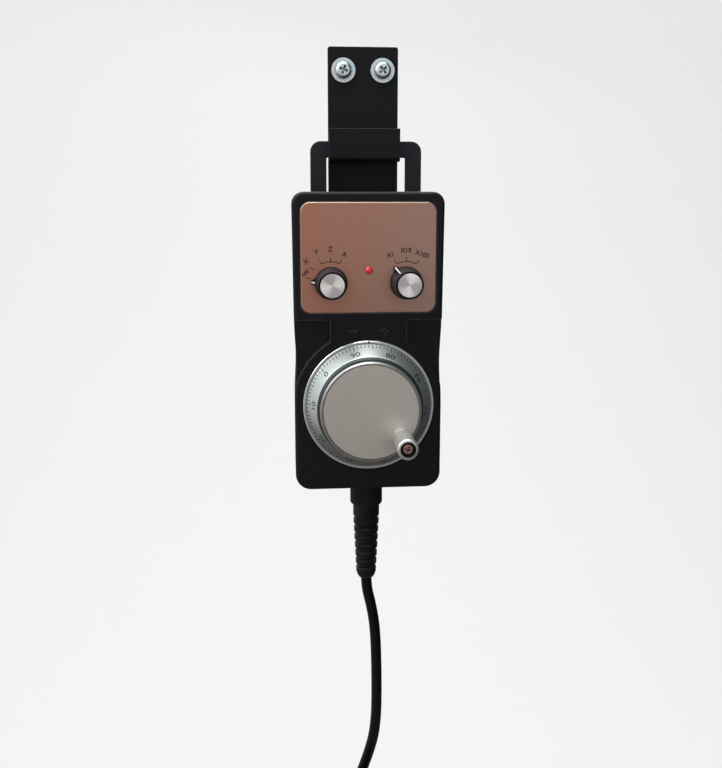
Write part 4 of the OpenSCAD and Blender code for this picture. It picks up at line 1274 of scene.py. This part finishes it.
@dataclass
class FacePlate:
    """Brushed plate with the lamp and the two printed scales."""

    half: float = 40.75
    low: float = -146.7
    high: float = -80.5
    front: float = -45.6
    back: float = -44.6
    corner: float = 6
    lamp_z: float = -121
    selector_x: float = 22.6
    selector_z: float = -128.5
    selector_r: float = 4.6
    tick_in: float = 12.8
    tick_out: float = 15.6

    def plate(self) -> None:
        """Plate with a rounded rim and holes for the lamp and the selectors."""
        work = Work.block("face", (-self.half, self.front, self.low),
                          (self.half, self.back, self.high))
        round_corners(work, self.half, self.low, self.high, self.corner)
        work.pick(Pick.FACES, lambda p: p.y < self.front + 0.01)
        bpy.ops.mesh.region_to_loop()
        work.bevel(0.85, 4)
        places = [(0, self.lamp_z, 2.35)]
        places += [(side * self.selector_x, self.selector_z, self.selector_r) for side in (-1, 1)]
        holes = [Work.turned("hole", (x, -40, z), Way.FRONT, [(r, 0), (r, 10)], 40)
                 for x, z, r in places]
        work.cut(*holes).done("pendant", FACE, "face_metal", "face_plate")

    def lamp(self) -> None:
        """Domed lens with a flange behind the plate."""
        dome = arc((0, 2.4), (2.3, 1.6), (0, 15, 30, 45, 60, 75, 86))
        rings = [(2.3, -4), (3.3, -3.8), (3.3, 0), (2.3, 0), *dome]
        work = Work.turned("lamp", (0, -42.5, self.lamp_z), Way.FRONT, rings, 40)
        work.done("pendant", LED, "lamp_red", "status_led")

    def scale(self, name: str, side: int, first: float, step: float, count: int,
              bow: tuple[float, float]) -> None:
        """Ticks and the bow that joins some of them.

        Args:
            name: The piece's name.
            side: Minus one for the left selector, one for the right.
            first: Angle of the first tick in degrees.
            step: Angle between ticks in degrees.
            count: Number of ticks.
            bow: Angles where the bow starts and ends, in degrees.
        """
        centre = Vector((side * self.selector_x, self.front, self.selector_z))
        inner, outer = self.tick_in, self.tick_out
        tick = Work.block(name, (inner, -0.03, -0.24), (outer, 0.02, 0.24))
        tick.mould(lambda p: facing(first) @ p + centre)
        tick.repeat(count - 1, step * (count - 1), tuple(centre))
        line = Work.block("line", (inner - 0.2, -0.03, -0.2), (inner + 0.2, 0.02, 0.2))
        line.mould(lambda p: facing(bow[0]) @ p + centre)
        line.repeat(60, bow[1] - bow[0], tuple(centre))
        tick.cut(line, join=True).done("pendant", PLATE_INK, "face_metal")

    def labels(self, side: int, words: dict[str, tuple[float, float, float]]) -> None:
        """Words round a selector.

        Args:
            side: Minus one for the left selector, one for the right.
            words: Angle in degrees, radius and height of type for each word.
        """
        middle = (side * self.selector_x, self.selector_z)
        for word, (angle, reach, size) in words.items():
            (x, z), = arc(middle, (reach, reach), (angle,))
            spot = Vector((x, self.front - 0.02, z)) * MM
            lean = Matrix.Rotation(math.radians(90 - angle) * 0.6, 4, "Y")
            place = Matrix.Translation(spot) @ lean @ Matrix.Rotation(math.pi / 2, 4, "X")
            label = lettering(f"label_{word.lower()}", word, size, place, 0.13)
            label.done("pendant", PLATE_INK, "face_metal")

    def build(self) -> None:
        """Make the plate, the lamp and the prints."""
        self.plate()
        self.lamp()
        self.scale("axis_scale", -1, 167.5, -25.5, 5, (65.5, 116.5))
        self.scale("multiplier_scale", 1, 118, -28, 3, (62, 114))
        self.labels(-1, {"OFF": (158.5, 16.3, 2.7), "X": (139, 19.6, 4), "Y": (115.5, 20.4, 4),
                         "Z": (91, 20.2, 4), "A": (65, 19, 4)})
        self.labels(1, {"X1": (120, 19.2, 3.8), "X10": (91, 19.4, 3.8), "X100": (61, 19.4, 3.8)})


@dataclass
class Selector:
    """A pointer knob with a spun metal cap."""

    name: str
    side: int
    rest: float
    x: float = FacePlate.selector_x
    z: float = FacePlate.selector_z
    face: float = FacePlate.front
    skirt: float = 9.8
    top: float = 8.2
    height: float = 16.8
    reach: float = 12.2
    cap: float = 7.15
    root: float = 7
    fin: float = 13.5
    fin_end: float = 2.4
    line_from: float = 7.7

    @property
    def centre(self) -> Point:
        """Centre of the knob on the face plate."""
        return (self.side * self.x, self.face, self.z)

    def aim(self, work: Work) -> Work:
        """Bring a piece that was made along X to where the knob points at rest."""
        return work.mould(lambda p: facing(self.rest) @ p + Vector(self.centre))

    def knob(self) -> None:
        """Tapered body, a pointer nose at its foot and a fin up its side, with painted light on the
        sides.
        """
        body = Work.turned(f"{self.name}_grip", self.centre, Way.FRONT, [
            (self.skirt, 0.4), (self.skirt, 1.8), (self.skirt - 0.5, 2.6), (self.top + 0.25, 4.4),
            (self.top, 6.5), (self.top, self.height - 0.25), (self.top - 0.2, self.height),
            (self.cap + 0.03, self.height), (self.cap + 0.03, self.height - 0.9)], 80)
        nose = Work.block("nose", (self.root, -2, -3.4), (self.reach, -0.4, 3.4))
        nose.pick(Pick.CORNERS, lambda p: p.x > self.reach - 1).swell((1, 1, 0.2), (0, 0, 0))
        fin = Work.block("fin", (self.root, -self.fin, -0.8), (self.reach - 0.3, -0.4, 0.8))
        fin.mould(lambda p: Vector((p.x, -self.fin_end if p.y < -3 and p.x > 9 else p.y, p.z)))
        body.cut(self.aim(nose), self.aim(fin), join=True).soften(0.25, 2, 38)
        knob = body.done(f"{self.name}_selector", KNOB, "knob_plastic", f"{self.name}_knob")
        # The sides take the lighter copy: painted light on the flanks.
        knob.data.materials.append(FLANK_PAINTED_LIGHT.material())
        for face in knob.data.polygons:
            height = self.face - face.center.y / MM
            face.material_index = int(2.5 < height < self.height - 0.3 and abs(face.normal.y) < 0.9)

    def line(self) -> None:
        """White line down the fin."""
        top = -self.fin
        work = Work.block(f"{self.name}_line", (self.line_from, top - 0.12, -0.34),
                          (self.reach - 0.35, top + 0.1, 0.34))
        slope = (self.fin - self.fin_end) / (self.reach - 0.3 - self.root)
        work.mould(lambda p: Vector((p.x, p.y + (p.x - self.root) * slope, p.z)))
        self.aim(work).soften(0.05).done(f"{self.name}_selector", WHITE, "knob_plastic")

    def disc(self) -> None:
        """Metal cap let into the top, with a painted sheen."""
        r, top = self.cap, self.height
        cap = Work.turned(f"{self.name}_disc", self.centre, Way.FRONT, [
            (r - 0.1, top - 0.8), (r, top - 0.7), (r, top - 0.3), (r - 0.12, top - 0.15),
            (r - 0.9, top - 0.12), (0.6, top - 0.16), (0.1, top - 0.2)], 80)
        # Each cap's painted sheen is turned its own way.
        finish = replace(CAP_WITH_PAINTED_SHEEN, name=f"Spun cap {self.name}", centre=self.centre,
                         lean=0.9 * self.side)
        cap.done(f"{self.name}_selector", finish, "cap_metal", f"{self.name}_cap")

    def build(self) -> None:
        """Make the knob, its line and its cap."""
        self.knob()
        self.line()
        self.disc()


@dataclass
class Dial:
    """Index ring, handwheel with its engraved band, face disc and crank."""

    z: float = Case.dial
    front: float = Case.front
    ring_out: float = 40
    ring_in: float = 38.5
    skirt: float = 38
    skirt_h: float = 1.8
    shoulder: float = 32.2
    shoulder_h: float = 12
    top: float = 30.5
    height: float = 20
    disc: float = 29
    seat: float = 18.6
    crank_x: float = CRANK_AXIS[0]
    crank_z: float = CRANK_AXIS[2]
    zero: float = 140.8
    type_h: float = 6.1

    @property
    def centre(self) -> Point:
        """Centre of the dial on the case front."""
        return (0, self.front, self.z)

    def ring(self) -> None:
        """Bright index ring with a black notch at the top."""
        out, bore = self.ring_out, self.ring_in
        work = Work.turned("index_ring", self.centre, Way.FRONT, [
            (9, 0), (out, 0), (out, 1.3), (out - 0.3, 1.6), (bore + 0.2, 1.6), (bore, 1.4),
            (bore, 0.6), (9, 0.6), (9, 0)], 144, True)
        work.done("pendant", BEZEL, "bezel_metal", "index_bezel")
        notch = Work.block("index_notch", (-0.4, self.front - 1.66, self.z + bore - 0.1),
                           (0.4, self.front - 1.1, self.z + out + 0.05))
        notch.soften(0.05).done("pendant", INK, "bezel_metal")

    def wheel(self) -> None:
        """Turned wheel: skirt, cone, neck, rim and the seat of the disc, with painted shade on the
        neck.
        """
        skirt, foot, top, high = self.skirt, self.skirt_h, self.top, self.height
        neck, waist, disc = self.shoulder, self.shoulder_h, self.disc
        work = Work.turned("wheel", self.centre, Way.FRONT, [
            (7, 2.4), (7, 16), (28.1, 16), (28.1, waist), (skirt - 2.4, 1), (skirt - 0.2, 1),
            (skirt, 1.2), (skirt, foot - 0.15), (skirt - 0.1, foot + 0.05),
            (neck + 0.15, waist - 0.2), (neck - 0.15, waist + 0.1), (top + 0.1, 13.2), (top, 13.6),
            (top, high - 1.05), (top - 0.1, high - 0.85), (disc + 0.6, high - 0.05),
            (disc + 0.4, high), (disc + 0.02, high), (disc + 0.02, self.seat), (3, self.seat),
            (3, 2.4), (7, 2.4)], 160, True)
        wheel = work.done("handwheel", BAND, "wheel_metal", "handwheel", smooth=20)
        # The neck takes a dark tone, painted shade; the top of the rim takes a duller tone.
        wheel.data.materials.append(NECK_PAINTED_SHADE.material())
        wheel.data.materials.append(RIM.material())
        for face in wheel.data.polygons:
            height = self.front - face.center.y / MM
            reach = math.hypot(face.center.x, face.center.z - self.z * MM) / MM
            if reach > disc and 12.2 < height < high - 1.1:
                face.material_index = 1
            elif reach > disc and height > high - 1.1:
                face.material_index = 2

    def slope(self, angle: float, reach: float) -> Matrix:
        """Place on the cone, with Y outwards along it and Z out of it.

        Args:
            angle: Angle round the dial in degrees.
            reach: Distance from the axis.

        Returns:
            The place as a matrix in metres.
        """
        a = math.radians(angle)
        out, along = Vector((math.cos(a), 0, math.sin(a))), Vector((math.sin(a), 0, -math.cos(a)))
        fall, rise = self.skirt - self.shoulder, self.shoulder_h - self.skirt_h
        length = math.hypot(fall, rise)
        up = (out * fall + Vector((0, rise, 0))) / length
        face = (out * rise - Vector((0, fall, 0))) / length
        height = self.skirt_h + (self.skirt - reach) / fall * rise
        spot = Vector((0, self.front - height, self.z)) + out * reach + face * 0.01
        place = Matrix((along, up, face)).transposed().to_4x4()
        place.translation = spot * MM
        return place

    def graduations(self) -> None:
        """A hundred engraved lines, longer at the fives and tens."""
        marks = None
        place = self.slope(self.zero, self.skirt - 0.25)
        for count, length, width in ((100, 2.7, 0.4), (20, 3.5, 0.4), (10, 4.3, 0.46)):
            line = Work.block("graduations", (-width / 2, -length, -0.02), (width / 2, 0, 0.03))
            line.mould(lambda p: (place @ (p * MM)) / MM)
            line.repeat(count - 1, 360 - 360 / count, self.centre)
            marks = line if marks is None else marks.cut(line, join=True)
        marks.done("handwheel", INK, "wheel_metal")

    def numerals(self) -> None:
        """Numbers every ten lines, anticlockwise."""
        for i in range(10):
            place = self.slope(self.zero + 36 * i, self.skirt - 4.1)
            number = lettering(f"number_{10 * i}", str(10 * i), self.type_h, place, 0.02)
            number.done("handwheel", INK, "wheel_metal")

    def face_disc(self) -> None:
        """Satin disc let into the wheel."""
        r, top = self.disc, 19.72
        work = Work.turned("face_disc", self.centre, Way.FRONT, [
            (r - 0.1, self.seat), (r, 18.7), (r, 18.9), (r - 0.35, 19), (r - 0.35, 19.5),
            (r - 0.6, 19.7), (r - 1.5, top), (12, top), (1, top)], 144)
        work.done("handwheel", DISC, "wheel_face_metal", "wheel_face")

    def crank(self) -> None:
        """Waisted grip on a screw with a black bush."""
        centre = (self.crank_x, self.front, self.crank_z)
        bore, seat = 2.55, 39.8
        tip = arc((4.9, 42.4), (1.4, 1.4), (0, 22, 45, 67, 90))
        grip = Work.turned("grip", centre, Way.FRONT, [
            (bore, 20.2), (5.2, 20.2), (5.5, 20.6), (5.95, 21.6), (6, 24), (6.02, 27.3),
            (6.15, 35.5), (6.3, 40.5), *tip, (4.62, 43.8), (4.6, seat), (bore, seat),
            (bore, 20.2)], 72, True)
        grip.done("crank", GRIP, "grip_metal", "crank_grip")
        bush = Work.turned("bush", centre, Way.FRONT, [
            (bore, seat), (4.6, seat), (4.6, 43.3), (4.4, 43.5), (3.5, 43.5), (3.5, 40.8),
            (bore, 40.8), (bore, seat)], 56, True)
        bush.done("crank", BUSH, "bush_plastic", "crank_bush")
        under = (self.crank_x, self.front - 40.95, self.crank_z)
        bolt = cross_screw("crank_bolt", under, Way.FRONT, 6.8, 1.8, 5, 28.5, 15, 1.4)
        bolt.done("handwheel", COPPER, "crank_steel", "crank_screw")

    def build(self) -> None:
        """Make the ring, the wheel, its marks and the crank."""
        self.ring()
        self.wheel()
        self.graduations()
        self.numerals()
        self.face_disc()
        self.crank()


@dataclass
class StrainRelief:
    """Gland sleeve and the grooved boot below it."""

    y: float = -28
    top: float = Case.bottom
    sleeve: float = 10.25
    sleeve_h: float = 14.5
    boot: float = 8.4
    boot_end: float = 6.6
    plain: float = 9.5
    pitch: float = 5.45
    grooves: int = 7

    def build(self) -> None:
        """Make the sleeve and the boot."""
        r, foot = self.sleeve, self.sleeve_h
        sleeve = Work.turned("sleeve", (0, self.y, self.top), Way.DOWN, [
            (3.6, -8), (8, -8), (8, 0.1), (r - 0.3, 0.1), (r, 0.5), (r, foot - 1),
            (r - 0.3, foot - 0.3), (r - 0.9, foot), (8.45, foot), (8.45, 8.5), (3.6, 8.5),
            (3.6, -8)], 72, True)
        sleeve.done("pendant", PLASTIC, "gland_plastic", "gland_body")
        last = self.plain + (self.grooves - 1) * self.pitch
        rings = [(3.55, -6), (self.boot, -6)]
        for i in range(self.grooves):
            for share, cut in ((-0.68, 0), (-0.54, 0.25), (-0.4, 1.2), (-0.28, 1.5), (0.28, 1.5),
                               (0.4, 1.2), (0.54, 0.25), (0.68, 0)):
                h = self.plain + i * self.pitch + share * 2
                fall = max(0, (h - self.plain + 2) / (last - self.plain + 2))
                rings.append((self.boot + (self.boot_end - self.boot) * fall - cut, h))
        end = last + 1
        rings += [(6.4, end + 3.3), (5.6, end + 5.6), (5, end + 6.7), (4.4, end + 7.3),
                  (3.55, end + 7.3), (3.55, -6)]
        boot = Work.turned("boot", (0, self.y, self.top - self.sleeve_h), Way.DOWN, rings, 64, True)
        boot.done("pendant", RUBBER, "boot_rubber", "strain_relief", smooth=40)


@dataclass
class Cord:
    """The cord from the boot, folded into a tied hank, to its plug."""

    diameter: float = 7
    exit: Point = (0, StrainRelief.y, -322)
    hank_x: float = -8
    hank_top: float = -477.5
    hank_bottom: float = -621.5
    fold: float = 22
    waist: float = 8.5
    first_y: float = -15.7
    layer: float = 7.2
    turns: int = 4
    strap: Point = (12.2, -11.8, -49.3)
    strap_h: float = 6
    plug_y: float = -59.5
    plug_top: float = -574

    def lead(self) -> list[Point]:
        """Route from the boot to the top of the hank."""
        return [self.exit, (0.8, -28, -331), (3.2, -28, -342), (5.2, -28, -354), (6.3, -28, -367),
                (6.8, -28, -381), (7.1, -27.5, -396), (7.2, -26.5, -411), (6.9, -25, -425),
                (5.6, -23, -439), (3.1, -20.2, -452), (-0.2, -17.2, -465), (-3.8, -15, -477)]

    def turn_points(self, number: int) -> list[Point]:
        """One turn of the hank: down on the left, round the fold, up on the right, over the top.

        Args:
            number: Its number from the back, counted from nought.

        Returns:
            Its points.
        """
        high, low = self.hank_top - self.fold, self.hank_bottom + self.fold
        flat: list[tuple[float, float]] = []
        for i in range(7):
            z = high + (low - high) * i / 6
            side = self.waist + (self.fold - self.waist) * math.sin(math.pi * (i / 6 - 0.5)) ** 2
            flat.append((-side, z))
        bends = (30, 60, 90, 120, 150)
        flat += arc((0, low), (-self.fold, -self.fold), bends)
        flat += [(-x, z) for x, z in reversed(flat[:7])]
        flat += arc((0, high), (self.fold, self.fold), bends)
        start, step = self.first_y - self.layer * number, self.layer / len(flat)
        return [(self.hank_x + x, start - step * i, z) for i, (x, z) in enumerate(flat)]

    def tail(self) -> list[Point]:
        """Route from the last fold, through the tie and into the plug.

        Returns:
            Its points.
        """
        inwards = [(-29.67, -44.35, -495.7), (-29.92, -44.5, -501.4), (-28.67, -44.65, -507),
                   (-26.75, -44.75, -511.1), (-24.15, -44.85, -514.8), (-19.1, -45, -520.8),
                   (-14.08, -45.15, -526.8), (-10.83, -45.25, -531.7), (-8.66, -45.35, -537.7)]
        down = ((-45.4, -543.5), (-45.4, -548), (-46.22, -553.95), (-48.64, -559.5),
                (-52.45, -564.15), (-56.26, -568.8), (-58.68, -574.35), (-59.5, -580.3),
                (-59.5, -584))
        return inwards + [(self.hank_x, y, z) for y, z in down]

    def route(self) -> list[Point]:
        """The whole route of the cord, through the hank from back to front.

        Returns:
            Its points.
        """
        into = [(-7.4, -14.4, -490), (-11.4, -14.8, -506), (-15.2, -15.4, -524)]
        turns = [p for n in range(self.turns) for p in self.turn_points(n)]
        return [*self.lead(), *into, *turns[len(into):], *self.tail()]

    def jacket(self) -> bpy.types.Object:
        """The cord as one smooth curve.

        Returns:
            The dressed curve.
        """
        points = self.route()
        curve = bpy.data.curves.new("cord", "CURVE")
        curve.dimensions, curve.resolution_u, curve.use_fill_caps = "3D", 6, True
        curve.bevel_depth, curve.bevel_resolution = self.diameter / 2 * MM, 5
        spline = curve.splines.new("BEZIER")
        spline.bezier_points.add(len(points) - 1)
        for knot, point in zip(spline.bezier_points, points):
            knot.co = Vector(point) * MM
            knot.handle_left_type = knot.handle_right_type = "AUTO"
        obj = bpy.data.objects.new("cord", curve)
        bpy.context.collection.objects.link(obj)
        return dress(obj, "pendant", JACKET, "cord_rubber", "cord_lead", "cord_hank", "cord_end")

    def tie(self) -> bpy.types.Object:
        """Hook and loop strap round the hank's waist, its end lapped over.

        Returns:
            The finished strap.
        """
        x, z = self.hank_x, (self.hank_top + self.hank_bottom) / 2
        (half, back, front), high = self.strap, self.strap_h
        work = Work.block("tie", (x - half, front, z - high), (x + half, back, z + high))
        for dx in (-half, half):
            for y in (front, back):
                work.pick(Pick.EDGES, lambda p: abs(p.x - x - dx) < 0.05 and abs(p.y - y) < 0.05)
                work.bevel(4, 6)
        for side in (1, -1):
            work.pick(Pick.FACES, lambda p: (p.z - z) * side > high - 0.1)
            bpy.ops.mesh.delete(type="FACE")
        work.merge().apply("SOLIDIFY", thickness=1.4 * MM, offset=1)
        lap = Work.block("lap", (x - 4, front - 2.5, z - high + 0.2),
                         (x + half - 3, front - 1.3, z + high - 0.2))
        for side in (1, -1):
            lap.pick(Pick.EDGES, lambda p: p.x < x - 3.9 and (p.z - z) * side > 5).bevel(3, 5)
        work.cut(lap, join=True)
        return work.soften(0.25).done("pendant", TIE, "tie_fabric", "hank_tie")

    def around(self, name: str, count: int, reach: float, drop: float, rings: Rings,
               sides: int) -> list[Work]:
        """Equal small pieces in a circle round the plug's axis.

        Args:
            name: Their name.
            count: Their number.
            reach: Distance from the axis.
            drop: How far below the plug's top they start.
            rings: Radius and height of each ring.
            sides: Corners of each ring.

        Returns:
            The opened pieces.
        """
        turns = [i * 360 / count for i in range(count)]
        return [Work.turned(name, (x, y, self.plug_top - drop), Way.DOWN, rings, sides)
                for x, y in arc((self.hank_x, self.plug_y), (reach, reach), turns)]

    def plug(self) -> list[bpy.types.Object]:
        """Cable clamp, barrel with pins and the fluted coupling ring.

        Returns:
            The finished barrel and ring.
        """
        centre = (self.hank_x, self.plug_y, self.plug_top)
        barrel = Work.turned("plug_barrel", centre, Way.DOWN, [
            (4.6, 0), (5.2, 0.2), (5.6, 1), (5.6, 3), (5.3, 3.2), (5.3, 4), (5.6, 4.2), (5.6, 8.6),
            (6.4, 9.4), (7.6, 11.4), (8, 12), (8, 14), (7.7, 14.3), (7.7, 15.2), (8, 15.5),
            (8, 32)], 64)
        pins = self.around("pin", 5, 4, 31, [(0.7, 0), (0.7, 4.6), (0.4, 5)], 16)
        barrel.cut(*pins, join=True).soften(0.15)
        ring = Work.turned("plug_coupling", centre, Way.DOWN, [
            (8.05, 24), (9.3, 24), (9.5, 24.3), (9.5, 25.6), (9.3, 26), (9.3, 36.6), (9.5, 37),
            (9.5, 39.7), (9.2, 40), (8.5, 40), (8.4, 39.8), (8.4, 32.2), (8.05, 32.2),
            (8.05, 24)], 72, True)
        ring.cut(*self.around("flute", 18, 9.9, 26.2, [(0.9, 0), (0.9, 10.2)], 12)).soften(0.12)
        return [barrel.done("pendant", NICKEL, "plug_metal", "plug_body"),
                ring.done("pendant", NICKEL, "plug_ring_metal", "plug_ring")]

    def build(self) -> None:
        """Make the cord, its tie and its plug."""
        jacket = self.jacket()
        held = [self.tie(), *self.plug()]


INNER = {
    "case_gasket": GASKET, "loop_screw_l": STEEL, "loop_screw_r": STEEL,
    "encoder_housing": ENCODER, "encoder_bearing": STEEL, "encoder_shaft": STEEL,
    "code_disc": SLOTS, "wheel_set_screw": DARK_STEEL, "control_board": BOARD,
    "terminal_block": TERMINAL, "gland_nut": PLASTIC, "cord_core": JACKET,
    **{f"encoder_screw_{i}": STEEL for i in (1, 2, 3)},
    **{f"board_screw_{i}": STEEL for i in (1, 2, 3, 4)},
    **{f"{s}_{part}": finish for s in ("axis", "multiplier") for part, finish in (
        ("switch", SWITCH), ("nut", STEEL), ("shaft", STEEL), ("set_screw", DARK_STEEL))},
}


def dress_inner() -> None:
    """Give the CAD nodes that stay their finishes."""
    for name, finish in INNER.items():
        obj = frame["nodes"][name]
        obj.data.materials.clear()
        obj.data.materials.append(finish.material())
        LOG.info("%s kept as %s", name, finish.name)


# ---- Studio ----


@dataclass
class Studio:
    """Camera, pale sweep and soft lamps."""

    camera_at: Point = (-47.25, -574.64, -77.23)
    yaw: float = 0.0802
    pitch: float = -0.1656
    lens: float = 41.682
    shift: tuple[float, float] = (0.0, -0.051)
    floor: float = -1.25
    wall: float = 1.9
    bend: float = 1.2
    middle: Point = (0, -0.02, -0.25)

    def camera(self) -> None:
        """Camera with a long side of 36 mm."""
        data = bpy.data.cameras.new("camera")
        data.sensor_width, data.lens = 36, self.lens
        data.shift_x, data.shift_y = self.shift
        data.clip_start, data.clip_end = 0.02, 50
        camera = bpy.data.objects.new("camera", data)
        camera.location = Vector(self.camera_at) * MM
        camera.rotation_euler = (math.pi / 2 + self.pitch, 0, -self.yaw)
        bpy.context.collection.objects.link(camera)
        bpy.context.scene.camera = camera

    def sweep(self) -> None:
        """Floor that curves up into a backdrop."""
        lay_down()
        bpy.ops.mesh.primitive_plane_add(size=1, location=(0, 0, self.floor))
        depth, foot, step = 8, self.wall - self.bend, 0.157
        bpy.context.object.scale = (12, depth, 1)
        work = Work("sweep")
        bpy.ops.mesh.select_all(action="SELECT")
        bpy.ops.transform.translate(value=(0, foot - depth / 2, 0))
        work.pick(Pick.EDGES, lambda p: p.y * MM > foot - 0.1)
        for y, z in arc((0, 0), (step, step), [7.5 * (i + 0.5) for i in range(12)]):
            bpy.ops.mesh.extrude_region_move(TRANSFORM_OT_translate={"value": (0, y, z)})
        bpy.ops.mesh.extrude_region_move(TRANSFORM_OT_translate={"value": (0, 0, 4)})
        bpy.ops.object.mode_set(mode="OBJECT")
        bpy.ops.object.shade_smooth_by_angle(angle=math.radians(30))
        shader = Shader("Pale sweep", {"Roughness": 0.9, "Specular IOR Level": 0.1})
        soft, _ = shader.effect(Effect.HANDLING, scale=2.0)
        east, _, up = shader.axes(shader.here())
        path = shader.add("LightPath").outputs
        seen, mirrored = path["Is Camera Ray"], path["Is Glossy Ray"]
        pale = shader.mix(soft, tint("eeeeec"), tint("f1f1ef"))
        lit = shader.mix(mirrored, pale, tint("3c3c40"))
        right = shader.span(east, 0.0, 1.1, 1, 0.06)
        sky = shader.sum(shader.span(up, -0.6, 2.8, 0.24, 1.2), right)
        sky = shader.sum(sky, shader.span(east, -3.4, -0.8, 0.85, 0), "MAXIMUM")
        glow = shader.sum(shader.sum(seen, 0.56), shader.sum(mirrored, sky), "ADD")
        tone = shader.mix(shader.span(up, -0.6, 1.6), (1.0, 0.91, 0.82, 1), (0.96, 1.0, 1.0, 1))
        shader.feed(base_color=shader.mix(seen, lit, tint("9c9c9b")), emission_strength=glow,
                    emission_color=shader.mix(seen, tone, (1.0, 1.0, 0.99, 1)))
        work.obj.data.materials.append(shader.made)

    def lamp(self, name: str, place: Point, size: float, power: float, colour: Point) -> None:
        """A square soft lamp that points at the middle of the object.

        Args:
            name: Its name.
            place: Where it stands, in metres.
            size: Its side in metres.
            power: Its power in watts.
            colour: Its colour.
        """
        data = bpy.data.lights.new(name, "AREA")
        data.shape, data.size, data.energy, data.color = "SQUARE", size, power, colour
        obj = bpy.data.objects.new(name, data)
        obj.location = place
        aim = Vector(self.middle) - Vector(place)
        obj.rotation_euler = aim.to_track_quat("-Z", "Y").to_euler()
        bpy.context.collection.objects.link(obj)

    def world(self) -> None:
        """Even room light with a pale background."""
        world = bpy.data.worlds.new("room")
        world.use_nodes = True
        bpy.context.scene.world = world
        tree = Tree(world.node_tree)
        path = tree.add("LightPath").outputs
        mirrored = tree.sum(path["Is Glossy Ray"], path["Is Transmission Ray"], "MAXIMUM")
        east, _, up = tree.axes(tree.add("TexCoord").outputs["Generated"])
        shade = tree.mix(tree.span(east, 0.08, 0.52), (0.9, 0.92, 0.93, 1), (0.06, 0.06, 0.07, 1))
        room, sides, pale = (
            tree.add("Background", {"Color": colour, "Strength": strength}).outputs[0]
            for colour, strength in (((0.96, 0.98, 1.0, 1), 0.5),
                                     (shade, tree.span(up, 0.45, 0.95, 0.9, 3.2)),
                                     ((0.9, 0.9, 0.9, 1), 0.95)))
        both = tree.add("MixShader", {0: mirrored, 1: room, 2: sides}).outputs[0]
        seen = tree.add("MixShader", {0: path["Is Camera Ray"], 1: both, 2: pale}).outputs[0]
        tree.add("OutputWorld", {"Surface": seen})

    def build(self) -> None:
        """Set up the studio."""
        bpy.context.scene.view_settings.view_transform = "Standard"
        self.camera()
        self.sweep()
        self.world()
        self.lamp("key", (-1.25, -0.55, 0.65), 0.8, 12, (1.0, 0.99, 0.97))
        self.lamp("top", (-0.25, -0.25, 1.15), 0.7, 16, (0.95, 0.98, 1.0))
        self.lamp("fill", (0.9, -1.7, 0.1), 1.2, 3, (0.96, 0.98, 1.0))
        self.lamp("rear", (0.2, 1.3, 1.0), 1.0, 15, (1.0, 1.0, 1.0))


def main() -> None:
    """Build the whole model in order."""
    logging.basicConfig(level=logging.INFO, format="%(message)s")
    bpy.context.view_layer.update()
    Studio().build()
    for part in (Cord(), Holder(), HangerLoop(), Case(), FacePlate(),
                 Selector("axis", -1, 175, line_from=10), Selector("multiplier", 1, 127),
                 Dial(), StrainRelief()):
        part.build()
    dress_inner()
    lay_down()


if __name__ == "__main__":
    main()
